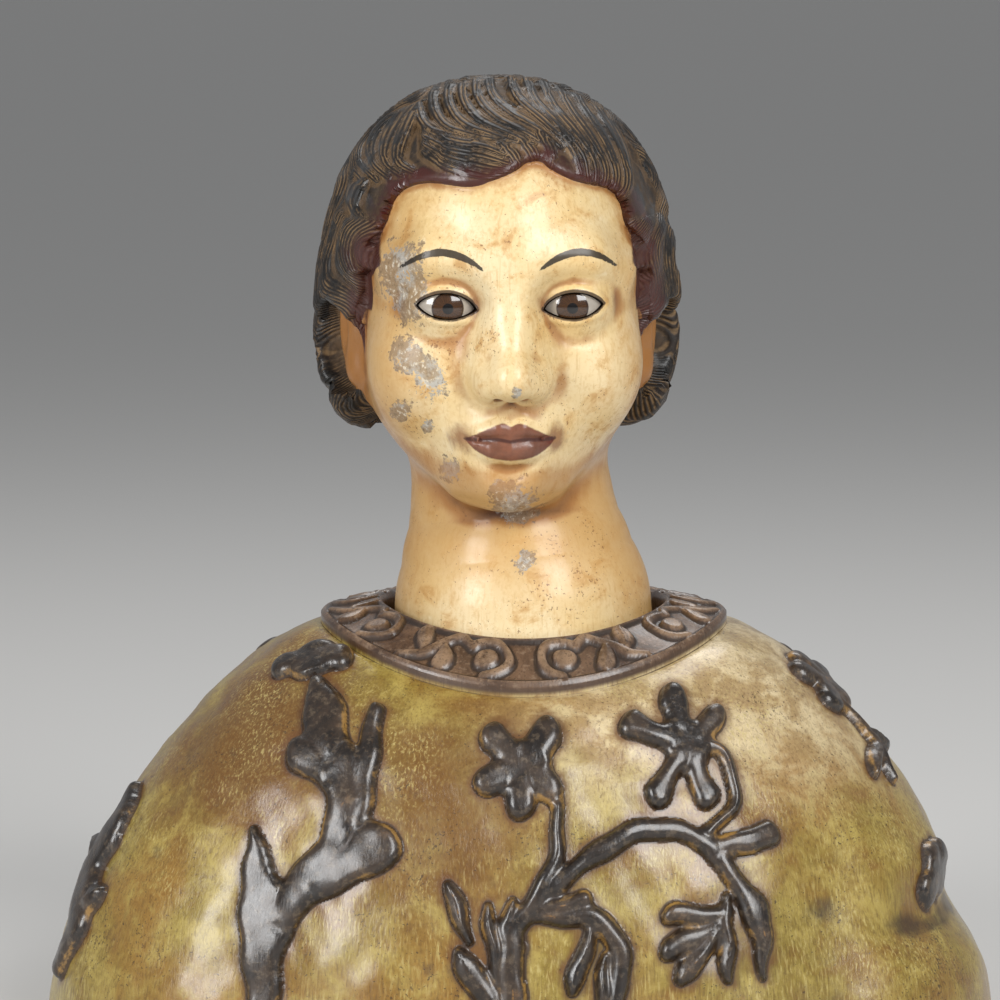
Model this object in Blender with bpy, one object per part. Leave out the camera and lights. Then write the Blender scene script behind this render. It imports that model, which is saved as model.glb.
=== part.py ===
"""Carved and painted wooden bust of a young robed figure, with inset glass eyes.

The robe with its collar and raised foliage is one carved piece, cut flat below. The head is
carved in one with its neck, which stands in a socket inside the collar. Each glass eye lies in
its own almond-shaped recess. Front is -Y, up is +Z, and the origin is under the middle of the base.
"""
import math

import bpy
import bmesh
import numpy as np
from mathutils import Matrix

MM = 0.001

# Driving sizes in millimetres
HEAD_HEIGHT = 111.0
ROBE_WIDTH = 247.0
ROBE_DEPTH = 153.8
ROBE_HEIGHT_SIDE = 103.5
ROBE_HEIGHT_FRONT = 90.0
ROBE_HEIGHT_BACK = 103.0
COLLAR_BAND_SIDE = 16.5
COLLAR_BAND_FRONT = 12.5
COLLAR_THICKNESS = 2.4
COLLAR_LIFT_SIDE = 3.0
COLLAR_LIFT_FRONT = 11.0
COLLAR_LIFT_BACK = 4.6
SOCKET_DEPTH = 19.0
SOCKET_GAP_FRONT = 0.8
SOCKET_GAP_BACK = 2.6
SOCKET_GAP_SIDE = 2.0
FOLIAGE_RISE = 3.0
FOLIAGE_SHOULDER = 2.6
SCROLL_RISE = 1.3
EYE_RADIUS = 9.9
EYE_THICKNESS = 5.5
SEAT_GAP = 0.3

# The head is carved in shares of its height: its form below is drawn 111 high
HEAD_DRAWN = 111.0
HEAD_SCALE = HEAD_HEIGHT / HEAD_DRAWN
NECK_FOOT_DRAWN = 34.3
NECK_DRAWN_BOTTOM = -102.0
NECK_FOOT_XY = (6.0, 3.5)
NECK_RADIUS = NECK_FOOT_DRAWN * HEAD_SCALE

# The foliage on the breast makes up the depth in front
ROBE_FRONT = ROBE_DEPTH / 2 - FOLIAGE_RISE
ROBE_BACK = ROBE_DEPTH / 2

# Where the neck stands in the robe
NECK_PLACE = (1.0, 4.7)
SOCKET_X = NECK_PLACE[0]
SOCKET_Y = NECK_PLACE[1] + (SOCKET_GAP_BACK - SOCKET_GAP_FRONT) / 2
SOCKET_HALF_WIDTH = NECK_RADIUS + SOCKET_GAP_SIDE
SOCKET_HALF_DEPTH = NECK_RADIUS + (SOCKET_GAP_FRONT + SOCKET_GAP_BACK) / 2
SOCKET_FLOOR = ROBE_HEIGHT_SIDE + COLLAR_THICKNESS - SOCKET_DEPTH
COLLAR_HALF_WIDTH = SOCKET_HALF_WIDTH + COLLAR_BAND_SIDE
COLLAR_HALF_DEPTH = SOCKET_HALF_DEPTH + COLLAR_BAND_FRONT

HEAD_PLACE = (
    NECK_PLACE[0] - NECK_FOOT_XY[0] * HEAD_SCALE,
    NECK_PLACE[1] - NECK_FOOT_XY[1] * HEAD_SCALE,
    SOCKET_FLOOR + SEAT_GAP - NECK_DRAWN_BOTTOM * HEAD_SCALE,
)
HEAD_YAW = math.radians(3.5)
HEAD_NOD = math.radians(1.5)

# Fineness of the solids
HEAD_BLANK_CELL = 3.0
HEAD_CELL = 1.5
HEAD_TRIANGLES = 4750
ROBE_AROUND = 440
ROBE_ROWS = 88
ROBE_TRIANGLES = 4350
CARE = 0.02


def ellipsoid(points, centre, radii):
    """Rough distance to an ellipsoid, below zero inside."""
    offset = points - np.array(centre)
    radii = np.array(radii)
    near = np.linalg.norm(offset / radii, axis=1)
    far = np.linalg.norm(offset / radii**2, axis=1) + 1e-9
    return near * (near - 1.0) / far


def limb(points, start, end, start_radius, end_radius):
    """Distance to a round bar that tapers from start to end."""
    start, end = np.array(start, float), np.array(end, float)
    along = end - start
    share = np.clip(((points - start) @ along) / (along @ along), 0, 1)
    reach = np.linalg.norm(points - start - share[:, None] * along, axis=1)
    return reach - (start_radius + (end_radius - start_radius) * share)


def chain(points, places, radii):
    """Distance to bars laid end to end through places."""
    bars = [
        limb(points, places[i], places[i + 1], radii[i], radii[i + 1])
        for i in range(len(places) - 1)
    ]
    return np.minimum.reduce(bars)


def join(first, second, soft):
    """Both forms, run together over a fillet of about soft."""
    near = np.maximum(soft - np.abs(first - second), 0) / soft
    return np.minimum(first, second) - near * near * soft / 4


def carve(form, tool, soft):
    """The form with the tool's shape taken away."""
    return -join(-form, tool, soft)


def ramp(value, low, high):
    """0 below low, 1 above high, and a smooth step between."""
    share = np.clip((value - low) / (high - low), 0, 1)
    return share * share * (3 - 2 * share)


def turn_matrix():
    """Turns the head from straight ahead to its pose."""
    yaw = Matrix.Rotation(HEAD_YAW, 3, "Z")
    nod = Matrix.Rotation(HEAD_NOD, 3, "X")
    return np.array(yaw @ nod)


HEAD_TURN = turn_matrix()

# The eye in the head's drawing: middle of the glass ball and the opening's half width
EYE_PLACE = np.array((16.0, -29.4, 0.0))
EYE_BALL = EYE_RADIUS / HEAD_SCALE
LID_BALL = EYE_BALL + 1.1
EYE_HALF = 7.8
LID_STEPS = 9


def eye_opening(share):
    """Heights of the upper and lower lid edge, for share from -1 at the nose to 1 at the temple."""
    bow = np.maximum(1 - share * share, 0)
    upper = 3.9 * bow**0.75 * (1 - 0.10 * share) + 0.6 * share
    lower = -3.0 * bow**0.85 * (1 + 0.15 * share) + 0.6 * share
    return upper, lower


def lid_line(side, radius, grow):
    """Points along a lid edge on a ball of this radius, moved out by grow. Side is 1 above, -1 below."""
    places = []
    for share in np.linspace(-1, 1, LID_STEPS):
        upper, lower = eye_opening(share)
        height = (upper if side > 0 else lower) + side * grow
        across = EYE_HALF * share * (1 + 0.1 * grow)
        depth = math.sqrt(max(radius**2 - across**2 - height**2, 0.01))
        places.append(EYE_PLACE + (across, -depth, height))
    return places


def tapered(end, middle):
    """Radii along a lid line, thin at both corners."""
    return [end] + [middle] * (LID_STEPS - 2) + [end]


def skull(q):
    form = ellipsoid(q, (0, 10, 12), (37.5, 46, 40))
    form = join(form, ellipsoid(q, (0, -5, 15), (33.5, 38, 34)), 8)
    form = join(form, ellipsoid(q, (0, -4, -12), (33.5, 36.5, 38)), 10)
    form = join(form, limb(q, (26, 6, -20), (8, -24, -42), 10.5, 9.5), 9)
    form = join(form, ellipsoid(q, (0, -32.6, -44), (9.6, 9.2, 8.6)), 8)
    form = join(form, ellipsoid(q, (20.5, -20, -17), (14, 16, 16)), 9)
    form = join(form, ellipsoid(q, (0, -29.6, -31), (15, 12.5, 11)), 8)
    form = join(form, limb(q, (5, -38.4, 9.8), (19, -34.4, 11.6), 2.9, 2.8), 10)
    form = join(form, limb(q, (19, -34.4, 11.6), (28, -24.0, 8), 2.8, 2.4), 10)
    return carve(form, ellipsoid(q, (16.6, -43.8, 0), (10.6, 6.2, 7.2)), 7)


def nose(q, form):
    form = join(form, limb(q, (0, -38.2, 9), (0, -46.6, -14.5), 3.4, 4.2), 8)
    form = join(form, limb(q, (3.0, -39.4, -6), (5.6, -40.6, -15.5), 2.8, 3.9), 7)
    form = join(form, ellipsoid(q, (0, -47.8, -18), (5.2, 5.2, 4.8)), 4.5)
    form = join(form, ellipsoid(q, (5.3, -42.6, -19.4), (3.5, 5.0, 3.7)), 4.5)
    return carve(form, ellipsoid(q, (3.1, -46.0, -23.1), (1.5, 2.5, 1.6)), 1.4)


def lids(q, form):
    form = join(form, np.linalg.norm(q - EYE_PLACE, axis=1) - LID_BALL, 1.6)
    form = join(form, chain(q, lid_line(1, LID_BALL - 0.45, 0.55), tapered(0.7, 1.0)), 1)
    return join(form, chain(q, lid_line(-1, LID_BALL - 0.65, 0.5), tapered(0.6, 0.9)), 1.2)


UPPER_LIP = [(0, -41.2, -31.0), (3, -41.4, -30.4), (7, -39.6, -31.6), (10.8, -36.8, -32.9)]
LOWER_LIP = [(0, -40.6, -36.1), (4.4, -40.1, -35.8), (8, -38.4, -34.8), (10.6, -36.6, -33.5)]
LIP_PARTING = [(0, -44.5, -33.4), (3.4, -44.0, -32.9), (7.2, -41.7, -33.1), (10.9, -38.2, -32.9)]


def mouth(q, form):
    form = carve(form, limb(q, (0, -44.8, -25.8), (0, -45, -28.4), 1.0, 1.3), 2.4)
    form = carve(form, ellipsoid(q, (0, -44.8, -40.8), (8, 3.4, 2.2)), 4.5)
    form = join(form, chain(q, UPPER_LIP, [2.3, 2.5, 2.0, 0.9]), 2)
    form = join(form, chain(q, LOWER_LIP, [3.2, 2.9, 1.9, 0.9]), 2)
    return carve(form, chain(q, LIP_PARTING, [0.45, 0.45, 0.45, 0.5]), 1.2)


def ears(q, form):
    form = join(form, ellipsoid(q, (36.6, 7, -8), (5, 8, 13)), 3)
    form = join(form, ellipsoid(q, (36.2, 3.5, -19.5), (3.6, 4.4, 5.2)), 2)
    return carve(form, ellipsoid(q, (42.6, 4.5, -9), (3.8, 4.6, 8)), 1.6)


def neck(p):
    foot_x, foot_y = NECK_FOOT_XY
    places = [(foot_x, foot_y, -112), (foot_x, foot_y, -92), (5.8, 3.6, -82), (4.6, 4.2, -72),
              (3.6, 5.4, -62), (2.4, 7.4, -48), (1, 9, -30)]
    foot = NECK_FOOT_DRAWN
    return chain(p, places, [foot, foot, foot - 0.9, foot - 3.9, foot - 6.8, foot - 8.6, foot - 9])


# Hair: locks fall from a whorl at the crown, wave, and end in scallops round the face
WHORL = np.array((0.06, 0.30, 0.95)) / math.sqrt(0.06**2 + 0.30**2 + 0.95**2)
HAIR_MIDDLE = (0, 8, 8)
LOCKS = 22
LOCK_RISE = 2.8
WAVES = 8.5
FACE_WINDOW = (37.6, 38.5)
FACE_WINDOW_MIDDLE = -4.0
# Broad lobes of hair over the face: angle from the top in degrees, reach, breadth in degrees
LOBES = ((-16, 3.6, 13), (-52, 2.6, 9), (-78, 2.2, 7), (27, 1.6, 9), (52, 3.0, 8), (9, -2.6, 6))


def smooth_line(places, steps=4):
    """More points along a smooth curve through places, each (across, up, half width)."""
    places = np.array(places, float)
    ends = np.vstack((2 * places[0] - places[1], places, 2 * places[-1] - places[-2]))
    line = []
    for i in range(len(places) - 1):
        a, b, c, d = ends[i : i + 4]
        for t in np.arange(steps) / steps:
            line.append(
                0.5 * (2 * b + (c - a) * t + (2 * a - 5 * b + 4 * c - d) * t**2
                       + (3 * b - a - 3 * c + d) * t**3)
            )
    line.append(places[-1])
    return np.array(line)


# Fans of locks over the forehead, seen from the front: the first and the last lock's line, right of
# and above the eyes' middle, the number of locks and their half width
LOCK_FANS = (
    (
        ((-39, 31), (-43.5, 28), (-44, 23), (-40.5, 19.5)),
        ((-36, 30), (-38, 27), (-38.5, 23), (-36, 20.5)),
        2,
        1.8,
    ),
    (
        ((-18, 57), (-30, 52), (-38.5, 43), (-40, 35), (-36, 30)),
        ((-22, 49.5), (-25, 45), (-27.5, 39.5), (-27.5, 35.5), (-24, 33.5)),
        5,
        1.9,
    ),
    (
        ((-20.5, 44), (-13.5, 41.5), (-6, 40.5), (1, 37.5)),
        ((-21, 38.5), (-15.5, 35.5), (-7.5, 33.5), (0, 33)),
        4,
        1.7,
    ),
    (((-2, 41), (1, 38), (2, 34.5)), ((8, 43.5), (10.5, 39.5), (10, 35)), 3, 1.8),
    (
        ((-16, 57.5), (-21.5, 51), (-20.5, 45), (-13.5, 43), (-3.5, 42)),
        ((-2.5, 58.5), (-3.5, 53), (1, 48.5), (8, 44.5), (13, 40)),
        6,
        1.6,
    ),
    (
        ((2.5, 58.5), (3, 52.5), (9.5, 46.5), (16, 40), (18.5, 33)),
        ((20.5, 54), (26, 46), (30, 38), (31, 30), (27, 25)),
        6,
        1.8,
    ),
)


def front_locks():
    """Each swept lock's line with its half widths, slim at both ends."""
    locks = []
    for first, last, count, half_width in LOCK_FANS:
        for share in np.linspace(0, 1, count):
            line = np.array(first, float) * (1 - share) + np.array(last, float) * share
            slim = np.interp(np.linspace(0, 1, len(line)), (0, 0.4, 1), (0.8, 1.1, 0.6))
            locks.append(smooth_line(np.column_stack((line, half_width * slim))))
    return locks


def lock_sweep(spots):
    """Height of the swept locks at each spot."""
    high = np.zeros(len(spots))
    for line in front_locks():
        box = (spots > line[:, :2].min(0) - 6) & (spots < line[:, :2].max(0) + 6)
        inside = np.flatnonzero(box.all(1))
        if not len(inside):
            continue
        near = spots[inside]
        share_out, width = np.full((2, len(inside)), 9.0)
        for start, end in zip(line[:-1], line[1:]):
            along = end[:2] - start[:2]
            share = np.clip(((near - start[:2]) @ along) / (along @ along), 0, 1)
            wide = start[2] + (end[2] - start[2]) * share
            reach = np.linalg.norm(near - start[:2] - share[:, None] * along, axis=1) / wide
            nearer = reach < share_out
            share_out = np.where(nearer, reach, share_out)
            width = np.where(nearer, wide, width)
        lift = 1.25 * width**0.6 * np.sqrt(np.maximum(1 - share_out**2, 0))
        high[inside] = np.maximum(high[inside], lift)
    return high


def lock_place(q):
    """Angle from the whorl, and place across the locks: its whole part counts them."""
    offset = q - np.array(HAIR_MIDDLE)
    way = offset / (np.linalg.norm(offset, axis=1)[:, None] + 1e-9)
    ahead = np.array((0, -1.0, 0))
    ahead = ahead - WHORL * (ahead @ WHORL)
    ahead /= np.linalg.norm(ahead)
    side = np.cross(WHORL, ahead)
    fall = np.arccos(np.clip(way @ WHORL, -1, 1))
    around = np.arctan2(way @ side, way @ ahead)
    sway = 0.15 / np.maximum(np.sin(fall), 0.45)
    sway = sway * np.sin(WAVES * fall + 1.4 * np.sin(2 * around) + 1.1 * np.sin(5 * around + 1))
    return fall, LOCKS * (around + sway + 0.22 * fall) / (2 * math.pi)


def lock_relief(q):
    """Height of the locks over the hair's mass, and each point's share across its lock."""
    fall, place = lock_place(q)
    share = place - np.floor(place)
    dome = np.sqrt(np.maximum(1 - (2 * share - 1) ** 2, 0))
    relief = LOCK_RISE * ramp(fall, 0.10, 0.65) * dome
    zone = ramp(-q[:, 1], -2, 8) * ramp(q[:, 2], 17, 25)
    swept = lock_sweep(q[:, [0, 2]])
    relief = relief + (swept - relief) * zone
    return relief, dome + (np.minimum(swept / 3, 1) - dome) * zone


def outside_face(q):
    """Distance outwards from the hairline, seen from the front."""
    wide, tall = FACE_WINDOW
    height = q[:, 2] - FACE_WINDOW_MIDDLE
    angle = np.degrees(np.arctan2(q[:, 0], height))
    reach = sum(lobe * np.exp(-(((angle - at) / broad) ** 2)) for at, lobe, broad in LOBES)
    window = (np.abs(q[:, 0] / wide) ** 3 + np.abs(height / tall) ** 3) ** (1 / 3)
    return (window - 1) * wide + reach


def hair(q):
    m = np.column_stack((np.abs(q[:, 0]), q[:, 1:]))
    form = ellipsoid(m, (0, 11, 11), (42.7, 51.5, 43))
    form = join(form, ellipsoid(m, (0, -3, 16), (37, 40.5, 37.5)), 6)
    form = join(form, ellipsoid(m, (34.5, 14, -9), (11, 21, 25)), 6)
    form = join(form, ellipsoid(m, (0, 36, -14), (30, 18, 24)), 8)
    relief, dome = lock_relief(q)
    front = np.maximum(outside_face(q) + 0.4 * dome, q[:, 1] + 6)
    form = form - relief * (0.3 + 0.7 * ramp(front, 0, 8))
    form = carve(form, front, 2.2)
    temple = -13 + 0.75 * np.maximum(-6 - q[:, 2], 0) - 3 * np.maximum(q[:, 2] - 6, 0)
    beside = np.maximum((q[:, 1] - temple) * 0.8, 30 - m[:, 0])
    form = carve(form, beside, 2.5)
    return carve(form, ellipsoid(m, (43, 4, -14), (13, 10.5, 12.5)), 2.5)


def head_form(p):
    """Rough distance to the carved head with its neck, in the drawing's millimetres."""
    q = p @ HEAD_TURN
    m = np.column_stack((np.abs(q[:, 0]), q[:, 1:]))
    form = mouth(m, lids(m, nose(m, skull(m))))
    form = ears(m, form)
    form = join(form, neck(p), 7)
    return join(form, hair(q), 1.2)


def points_of(mesh):
    flat = np.empty(len(mesh.vertices) * 3, np.float32)
    mesh.vertices.foreach_get("co", flat)
    return flat.reshape(-1, 3).astype(float)


def set_points(mesh, points):
    mesh.vertices.foreach_set("co", points.astype(np.float32).ravel())
    mesh.update()


def evened(points, edges):
    """Each point moved halfway to the middle of its neighbours."""
    total = np.zeros_like(points)
    count = np.zeros(len(points))
    for near, far in ((0, 1), (1, 0)):
        np.add.at(total, edges[:, near], points[edges[:, far]])
        np.add.at(count, edges[:, near], 1)
    return points + 0.5 * (total / count[:, None] - points)


def drawn_to(points, form, steps):
    """The points moved onto the surface where the form's distance is zero."""
    tick = 0.04
    for _ in range(steps):
        gap = form(points)
        slope = np.stack([(form(points + axis * tick) - gap) / tick for axis in np.eye(3)], axis=1)
        steep = np.maximum((slope * slope).sum(1), 0.25)
        points = points - (np.clip(gap, -3, 3) / steep)[:, None] * slope
    return points


def fitted(mesh, form, rounds, steps):
    """Draws a mesh onto a form, evening its points before each round."""
    flat = np.empty(len(mesh.edges) * 2, np.int32)
    mesh.edges.foreach_get("vertices", flat)
    edges = flat.reshape(-1, 2)
    points = points_of(mesh)
    for _ in range(rounds):
        points = drawn_to(evened(points, edges), form, steps)
    set_points(mesh, points)


def with_modifier(mesh, kind, weights=(), **settings):
    """The mesh as a modifier leaves it, with a weight for each point if any are given."""
    obj = bpy.data.objects.new("blank", mesh)
    bpy.context.scene.collection.objects.link(obj)
    modifier = obj.modifiers.new(kind.lower(), kind)
    if len(weights):
        group = obj.vertex_groups.new(name="weights")
        for i, weight in enumerate(weights):
            group.add([i], weight, "REPLACE")
        modifier.vertex_group = group.name
    for name, value in settings.items():
        setattr(modifier, name, value)
    bpy.context.view_layer.update()
    made = bpy.data.meshes.new_from_object(
        obj.evaluated_get(bpy.context.evaluated_depsgraph_get())
    )
    bpy.data.objects.remove(obj)
    return made


def head_blank():
    """Balls and a bar about as big as the head, its hair and its neck, to start the carving from."""
    bm = bmesh.new()
    balls = (
        ((0, 10, 11), (43, 51, 43)),
        ((0, -4, -6), (35, 38, 45)),
        ((0, -30, -40), (12, 12, 12)),
        ((0, -42, -16), (8, 11, 9)),
        ((0, 18, -12), (45, 24, 24)),
    )
    for centre, radii in balls:
        made = bmesh.ops.create_icosphere(bm, subdivisions=4, radius=1)
        bmesh.ops.scale(bm, vec=radii, verts=made["verts"])
        bmesh.ops.translate(bm, vec=centre, verts=made["verts"])
    made = bmesh.ops.create_cone(
        bm, cap_ends=True, segments=48, radius1=34, radius2=26, depth=90
    )
    bmesh.ops.translate(bm, vec=(4, 5, -65), verts=made["verts"])
    mesh = bpy.data.meshes.new("blank")
    bm.to_mesh(mesh)
    bm.free()
    return mesh


def thinned(mesh, wanted, care):
    """About the wanted number of triangles, kept where the form bends most and where care is 1."""
    bm = bmesh.new()
    bm.from_mesh(mesh)
    bmesh.ops.triangulate(bm, faces=bm.faces)
    count = len(bm.faces)
    bm.to_mesh(mesh)
    bm.free()
    weights = 1 - 0.5 * care(points_of(mesh))
    ratio = min(wanted / count, 1.0)
    thin = with_modifier(
        mesh, "DECIMATE", weights=weights, ratio=ratio, vertex_group_factor=CARE
    )
    thin.materials.clear()
    return thin


def cut_flat(mesh, height):
    """Cuts away all below a height and closes the cut with a flat face."""
    bm = bmesh.new()
    bm.from_mesh(mesh)
    geometry = bm.verts[:] + bm.edges[:] + bm.faces[:]
    bmesh.ops.bisect_plane(
        bm, geom=geometry, plane_co=(0, 0, height), plane_no=(0, 0, -1), clear_outer=True
    )
    rim = [edge for edge in bm.edges if edge.is_boundary]
    for vert in {vert for edge in rim for vert in edge.verts}:
        vert.co.z = height
    made = bmesh.ops.contextual_create(bm, geom=rim)
    bmesh.ops.triangulate(bm, faces=made["faces"])
    bmesh.ops.recalc_face_normals(bm, faces=bm.faces)
    bm.to_mesh(mesh)
    bm.free()


def put(name, mesh, material):
    obj = bpy.data.objects.new(name, mesh)
    bpy.context.scene.collection.objects.link(obj)
    mesh.materials.clear()
    mesh.materials.append(material)
    return obj


def placed_head(points):
    """Points of the head's drawing in the bust's frame, in metres."""
    return (points * HEAD_SCALE + np.array(HEAD_PLACE)) * MM


def almond(side, gap, front, back, outline_steps=11):
    """A prism in the eye's outline, at least gap smaller all round, between two depths."""
    bm = bmesh.new()
    shares = np.linspace(-1, 1, outline_steps)
    upper, lower = eye_opening(shares)
    size = 1 + gap / lower.min()
    ring = list(zip(EYE_HALF * shares, upper)) + list(zip(EYE_HALF * shares, lower))[-2:0:-1]
    verts = [bm.verts.new((x * size, -front, z * size)) for x, z in ring]
    face = bm.faces.new(verts)
    made = bmesh.ops.extrude_face_region(bm, geom=[face])
    moved = [item for item in made["geom"] if isinstance(item, bmesh.types.BMVert)]
    bmesh.ops.translate(bm, vec=(0, front - back, 0), verts=moved)
    bmesh.ops.recalc_face_normals(bm, faces=bm.faces)
    mesh = bpy.data.meshes.new("almond")
    bm.to_mesh(mesh)
    bm.free()
    points = points_of(mesh) + EYE_PLACE
    points[:, 0] *= side
    set_points(mesh, placed_head(points @ HEAD_TURN.T))
    if side < 0:
        mesh.flip_normals()
    return mesh


def helper(name, mesh):
    obj = bpy.data.objects.new(name, mesh)
    bpy.context.scene.collection.objects.link(obj)
    obj.hide_render = True
    obj.display_type = "WIRE"
    return obj


def boolean(obj, operation, other):
    modifier = obj.modifiers.new(other.name, "BOOLEAN")
    modifier.operation = operation
    modifier.object = other


def face_care(points):
    """1 round the eyes, nose and mouth."""
    q = points @ HEAD_TURN
    across = np.abs(q[:, 0]) - 0.35 * np.maximum(q[:, 2] + 20, 0)
    return ramp(-q[:, 1], 26, 30) * ramp(18 - across, 0, 5) * ramp(22 - np.abs(q[:, 2] + 15), 0, 5)


def make_head(material):
    mesh = with_modifier(head_blank(), "REMESH", mode="VOXEL", voxel_size=HEAD_BLANK_CELL)
    fitted(mesh, head_form, 5, 2)
    mesh = with_modifier(mesh, "REMESH", mode="VOXEL", voxel_size=HEAD_CELL)
    fitted(mesh, head_form, 2, 1)
    mesh = thinned(mesh, HEAD_TRIANGLES, face_care)
    cut_flat(mesh, NECK_DRAWN_BOTTOM)
    set_points(mesh, placed_head(points_of(mesh)))
    return put("head", mesh, material)


def make_eye(name, side, head, material):
    """A domed glass eye, and the recess for it in the head."""
    reach = EYE_BALL + 6
    depth = EYE_BALL - EYE_THICKNESS / HEAD_SCALE
    gap = SEAT_GAP / HEAD_SCALE
    boolean(head, "DIFFERENCE", helper(name + "_recess", almond(side, 0, reach, depth)))
    bm = bmesh.new()
    bmesh.ops.create_uvsphere(bm, u_segments=32, v_segments=22, radius=EYE_BALL)
    mesh = bpy.data.meshes.new(name)
    bm.to_mesh(mesh)
    bm.free()
    middle = EYE_PLACE * (side, 1, 1)
    set_points(mesh, placed_head((points_of(mesh) + middle) @ HEAD_TURN.T))
    eye = put(name, mesh, material)
    boolean(eye, "INTERSECT", helper(name + "_outline", almond(side, gap, reach, depth + gap)))


# Robe: distance out from the collar and height down from it follow 1 - height^power
SIDE_SLOPE = (1.6, 0.70)
FRONT_SLOPE = (1.8, 0.70)
BACK_SLOPE = (2.6, 0.70)
BOXY = 0.30
ARM_VALLEY = ((78.0, 12.0, 4.0), (-64.0, 12.0, 3.5))
SLEEVE_CREASE = (32.0, 10.0, 5.2)
CHEST_RIDGE = (-33.0, 15.0, 1.8)


def out_share(height_share, slope):
    power, bend = slope
    return np.maximum(1 - height_share**power, 0) ** bend


def round_value(around, side, front, back):
    """A size that runs smoothly from side to front and back as the angle from the front turns."""
    cosine = np.cos(around)
    return side + np.where(cosine > 0, front - side, back - side) * cosine**2


def robe_base(around, rise):
    """The robe's plain surface, at an angle from the front and a rise from 0 below to 1 at the collar."""
    height = np.sin(rise * math.pi / 2)
    sine, cosine = np.sin(around), np.cos(around)
    boxy = 1 - BOXY * (1 - rise) ** 0.5 * 0.5
    wide = np.sign(sine) * np.abs(sine) ** boxy
    deep = np.sign(cosine) * np.abs(cosine) ** boxy
    x_half = COLLAR_HALF_WIDTH + (ROBE_WIDTH / 2 - COLLAR_HALF_WIDTH) * out_share(height, SIDE_SLOPE)
    front = ROBE_FRONT + SOCKET_Y - COLLAR_HALF_DEPTH
    front = COLLAR_HALF_DEPTH + front * out_share(height, FRONT_SLOPE)
    back = ROBE_BACK - SOCKET_Y - COLLAR_HALF_DEPTH
    back = COLLAR_HALF_DEPTH + back * out_share(height, BACK_SLOPE)
    x = SOCKET_X * height + x_half * wide
    y = SOCKET_Y - np.where(cosine > 0, front, back) * deep
    level = round_value(around, ROBE_HEIGHT_SIDE, ROBE_HEIGHT_FRONT, ROBE_HEIGHT_BACK)
    return np.column_stack((x, y, level * height))


def folds(points, around):
    """Depth of the robe's broad folds: arms against the chest, a sleeve crease, a soft chest ridge."""
    x, z = points[:, 0], points[:, 2]
    facing = ramp(np.cos(around), 0.05, 0.5)
    behind = ramp(-np.cos(around), 0.05, 0.5)
    low = 1 - ramp(z, 30, 78)
    depth = np.zeros(len(points))
    for at, broad, deep in ARM_VALLEY:
        depth -= deep * np.exp(-(((x - at) / broad) ** 2)) * low * (facing + 0.7 * behind)
    at, broad, deep = SLEEVE_CREASE
    depth -= deep * np.exp(-(((z - at) / broad) ** 2)) * ramp(np.sin(around), 0.6, 0.95)
    at, broad, deep = CHEST_RIDGE
    return depth + deep * np.exp(-(((x - at) / broad) ** 2)) * facing * low


def leaf(base, tip, half_width):
    """A leaf or petal: widest past its middle, with a rounded tip."""
    base, tip = np.array(base, float), np.array(tip, float)
    shares = ((0, 0.45), (0.35, 0.9), (0.68, 1.0), (0.9, 0.55))
    return [(*(base + (tip - base) * share), half_width * wide) for share, wide in shares]


def lobe(base, tip, half_width, foot=0.55, waist=0.95):
    """A leaf or petal with a round tip. Foot and waist are its shares of width there."""
    base, tip = np.array(base, float), np.array(tip, float)
    end = tip + (base - tip) * half_width / np.linalg.norm(tip - base)
    middle = (base + end) / 2
    return [(*base, half_width * foot), (*middle, half_width * waist), (*end, half_width)]


def flower(centre, tips, half_width, foot=1.15, waist=0.85):
    """Petals from a centre to each tip."""
    return [lobe(centre, tip, half_width, foot, waist) for tip in tips]


# Foliage of the breast, in millimetres right of the middle and above the base, seen from the front
LEFT_FLOWER = flower(
    (0.8, 74.2), [(-9.4, 82.8), (9.2, 85.0), (-11.4, 69.2), (-0.8, 61.8), (10.0, 66.8)], 3.9, 1.35, 1.0
)
RIGHT_FLOWER = flower(
    (41.9, 78.6), [(36.8, 92.0), (51, 86), (47.6, 63.6), (32.4, 64.6), (25.0, 84.4)], 3.5, 1.2, 0.8
)
MIDDLE_SPRAY = [
    [(-4, 3, 3.8), (-2.4, 17, 3.6), (-2.2, 34, 3.0), (2, 40, 2.7), (7.5, 49, 2.2), (9.3, 58, 1.8),
     (8.8, 65, 1.7)],
    [(8.5, 46, 2.3), (17, 52.5, 2.6), (27, 58, 2.8), (34, 59.3, 2.7), (42.5, 57.4, 2.6), (49, 52.6, 2.2)],
    [(49, 52.6, 2.0), (55, 44, 2.8), (59.3, 36, 3.3), (60.6, 22, 0.8)],
    [(46.7, 58, 1.8), (52.8, 63, 1.7), (53, 70, 1.7), (50.4, 75.6, 1.7), (46, 79, 1.8)],
    [(5.5, 38.5, 1.9), (18.4, 38, 2.7), (23.2, 33, 2.9), (25, 25.8, 2.7), (22.6, 16.7, 2.2), (20, 8, 0.9)],
    lobe((49, 54), (65, 57), 3.2),
    leaf((50.8, 42), (51.6, 20), 2.3),
    lobe((51, 38), (35.0, 38.8), 2.7),
    lobe((49, 35.5), (34.3, 29.0), 3.0),
    leaf((49, 35), (38.6, 21.0), 2.8),
    leaf((-13, 33), (-18.4, 47), 2.5),
    leaf((-5.5, 22), (-8.9, 43), 1.9),
    leaf((-3.5, 33), (-2.2, 43.5), 1.8),
    leaf((-5, 14), (-16.5, 31), 3.4),
    lobe((4, 40), (17.4, 43), 2.2),
    leaf((17.7, 35), (12, 19), 2.7),
    leaf((20.7, 29), (19.5, 15), 1.8),
] + LEFT_FLOWER + RIGHT_FLOWER
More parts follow.
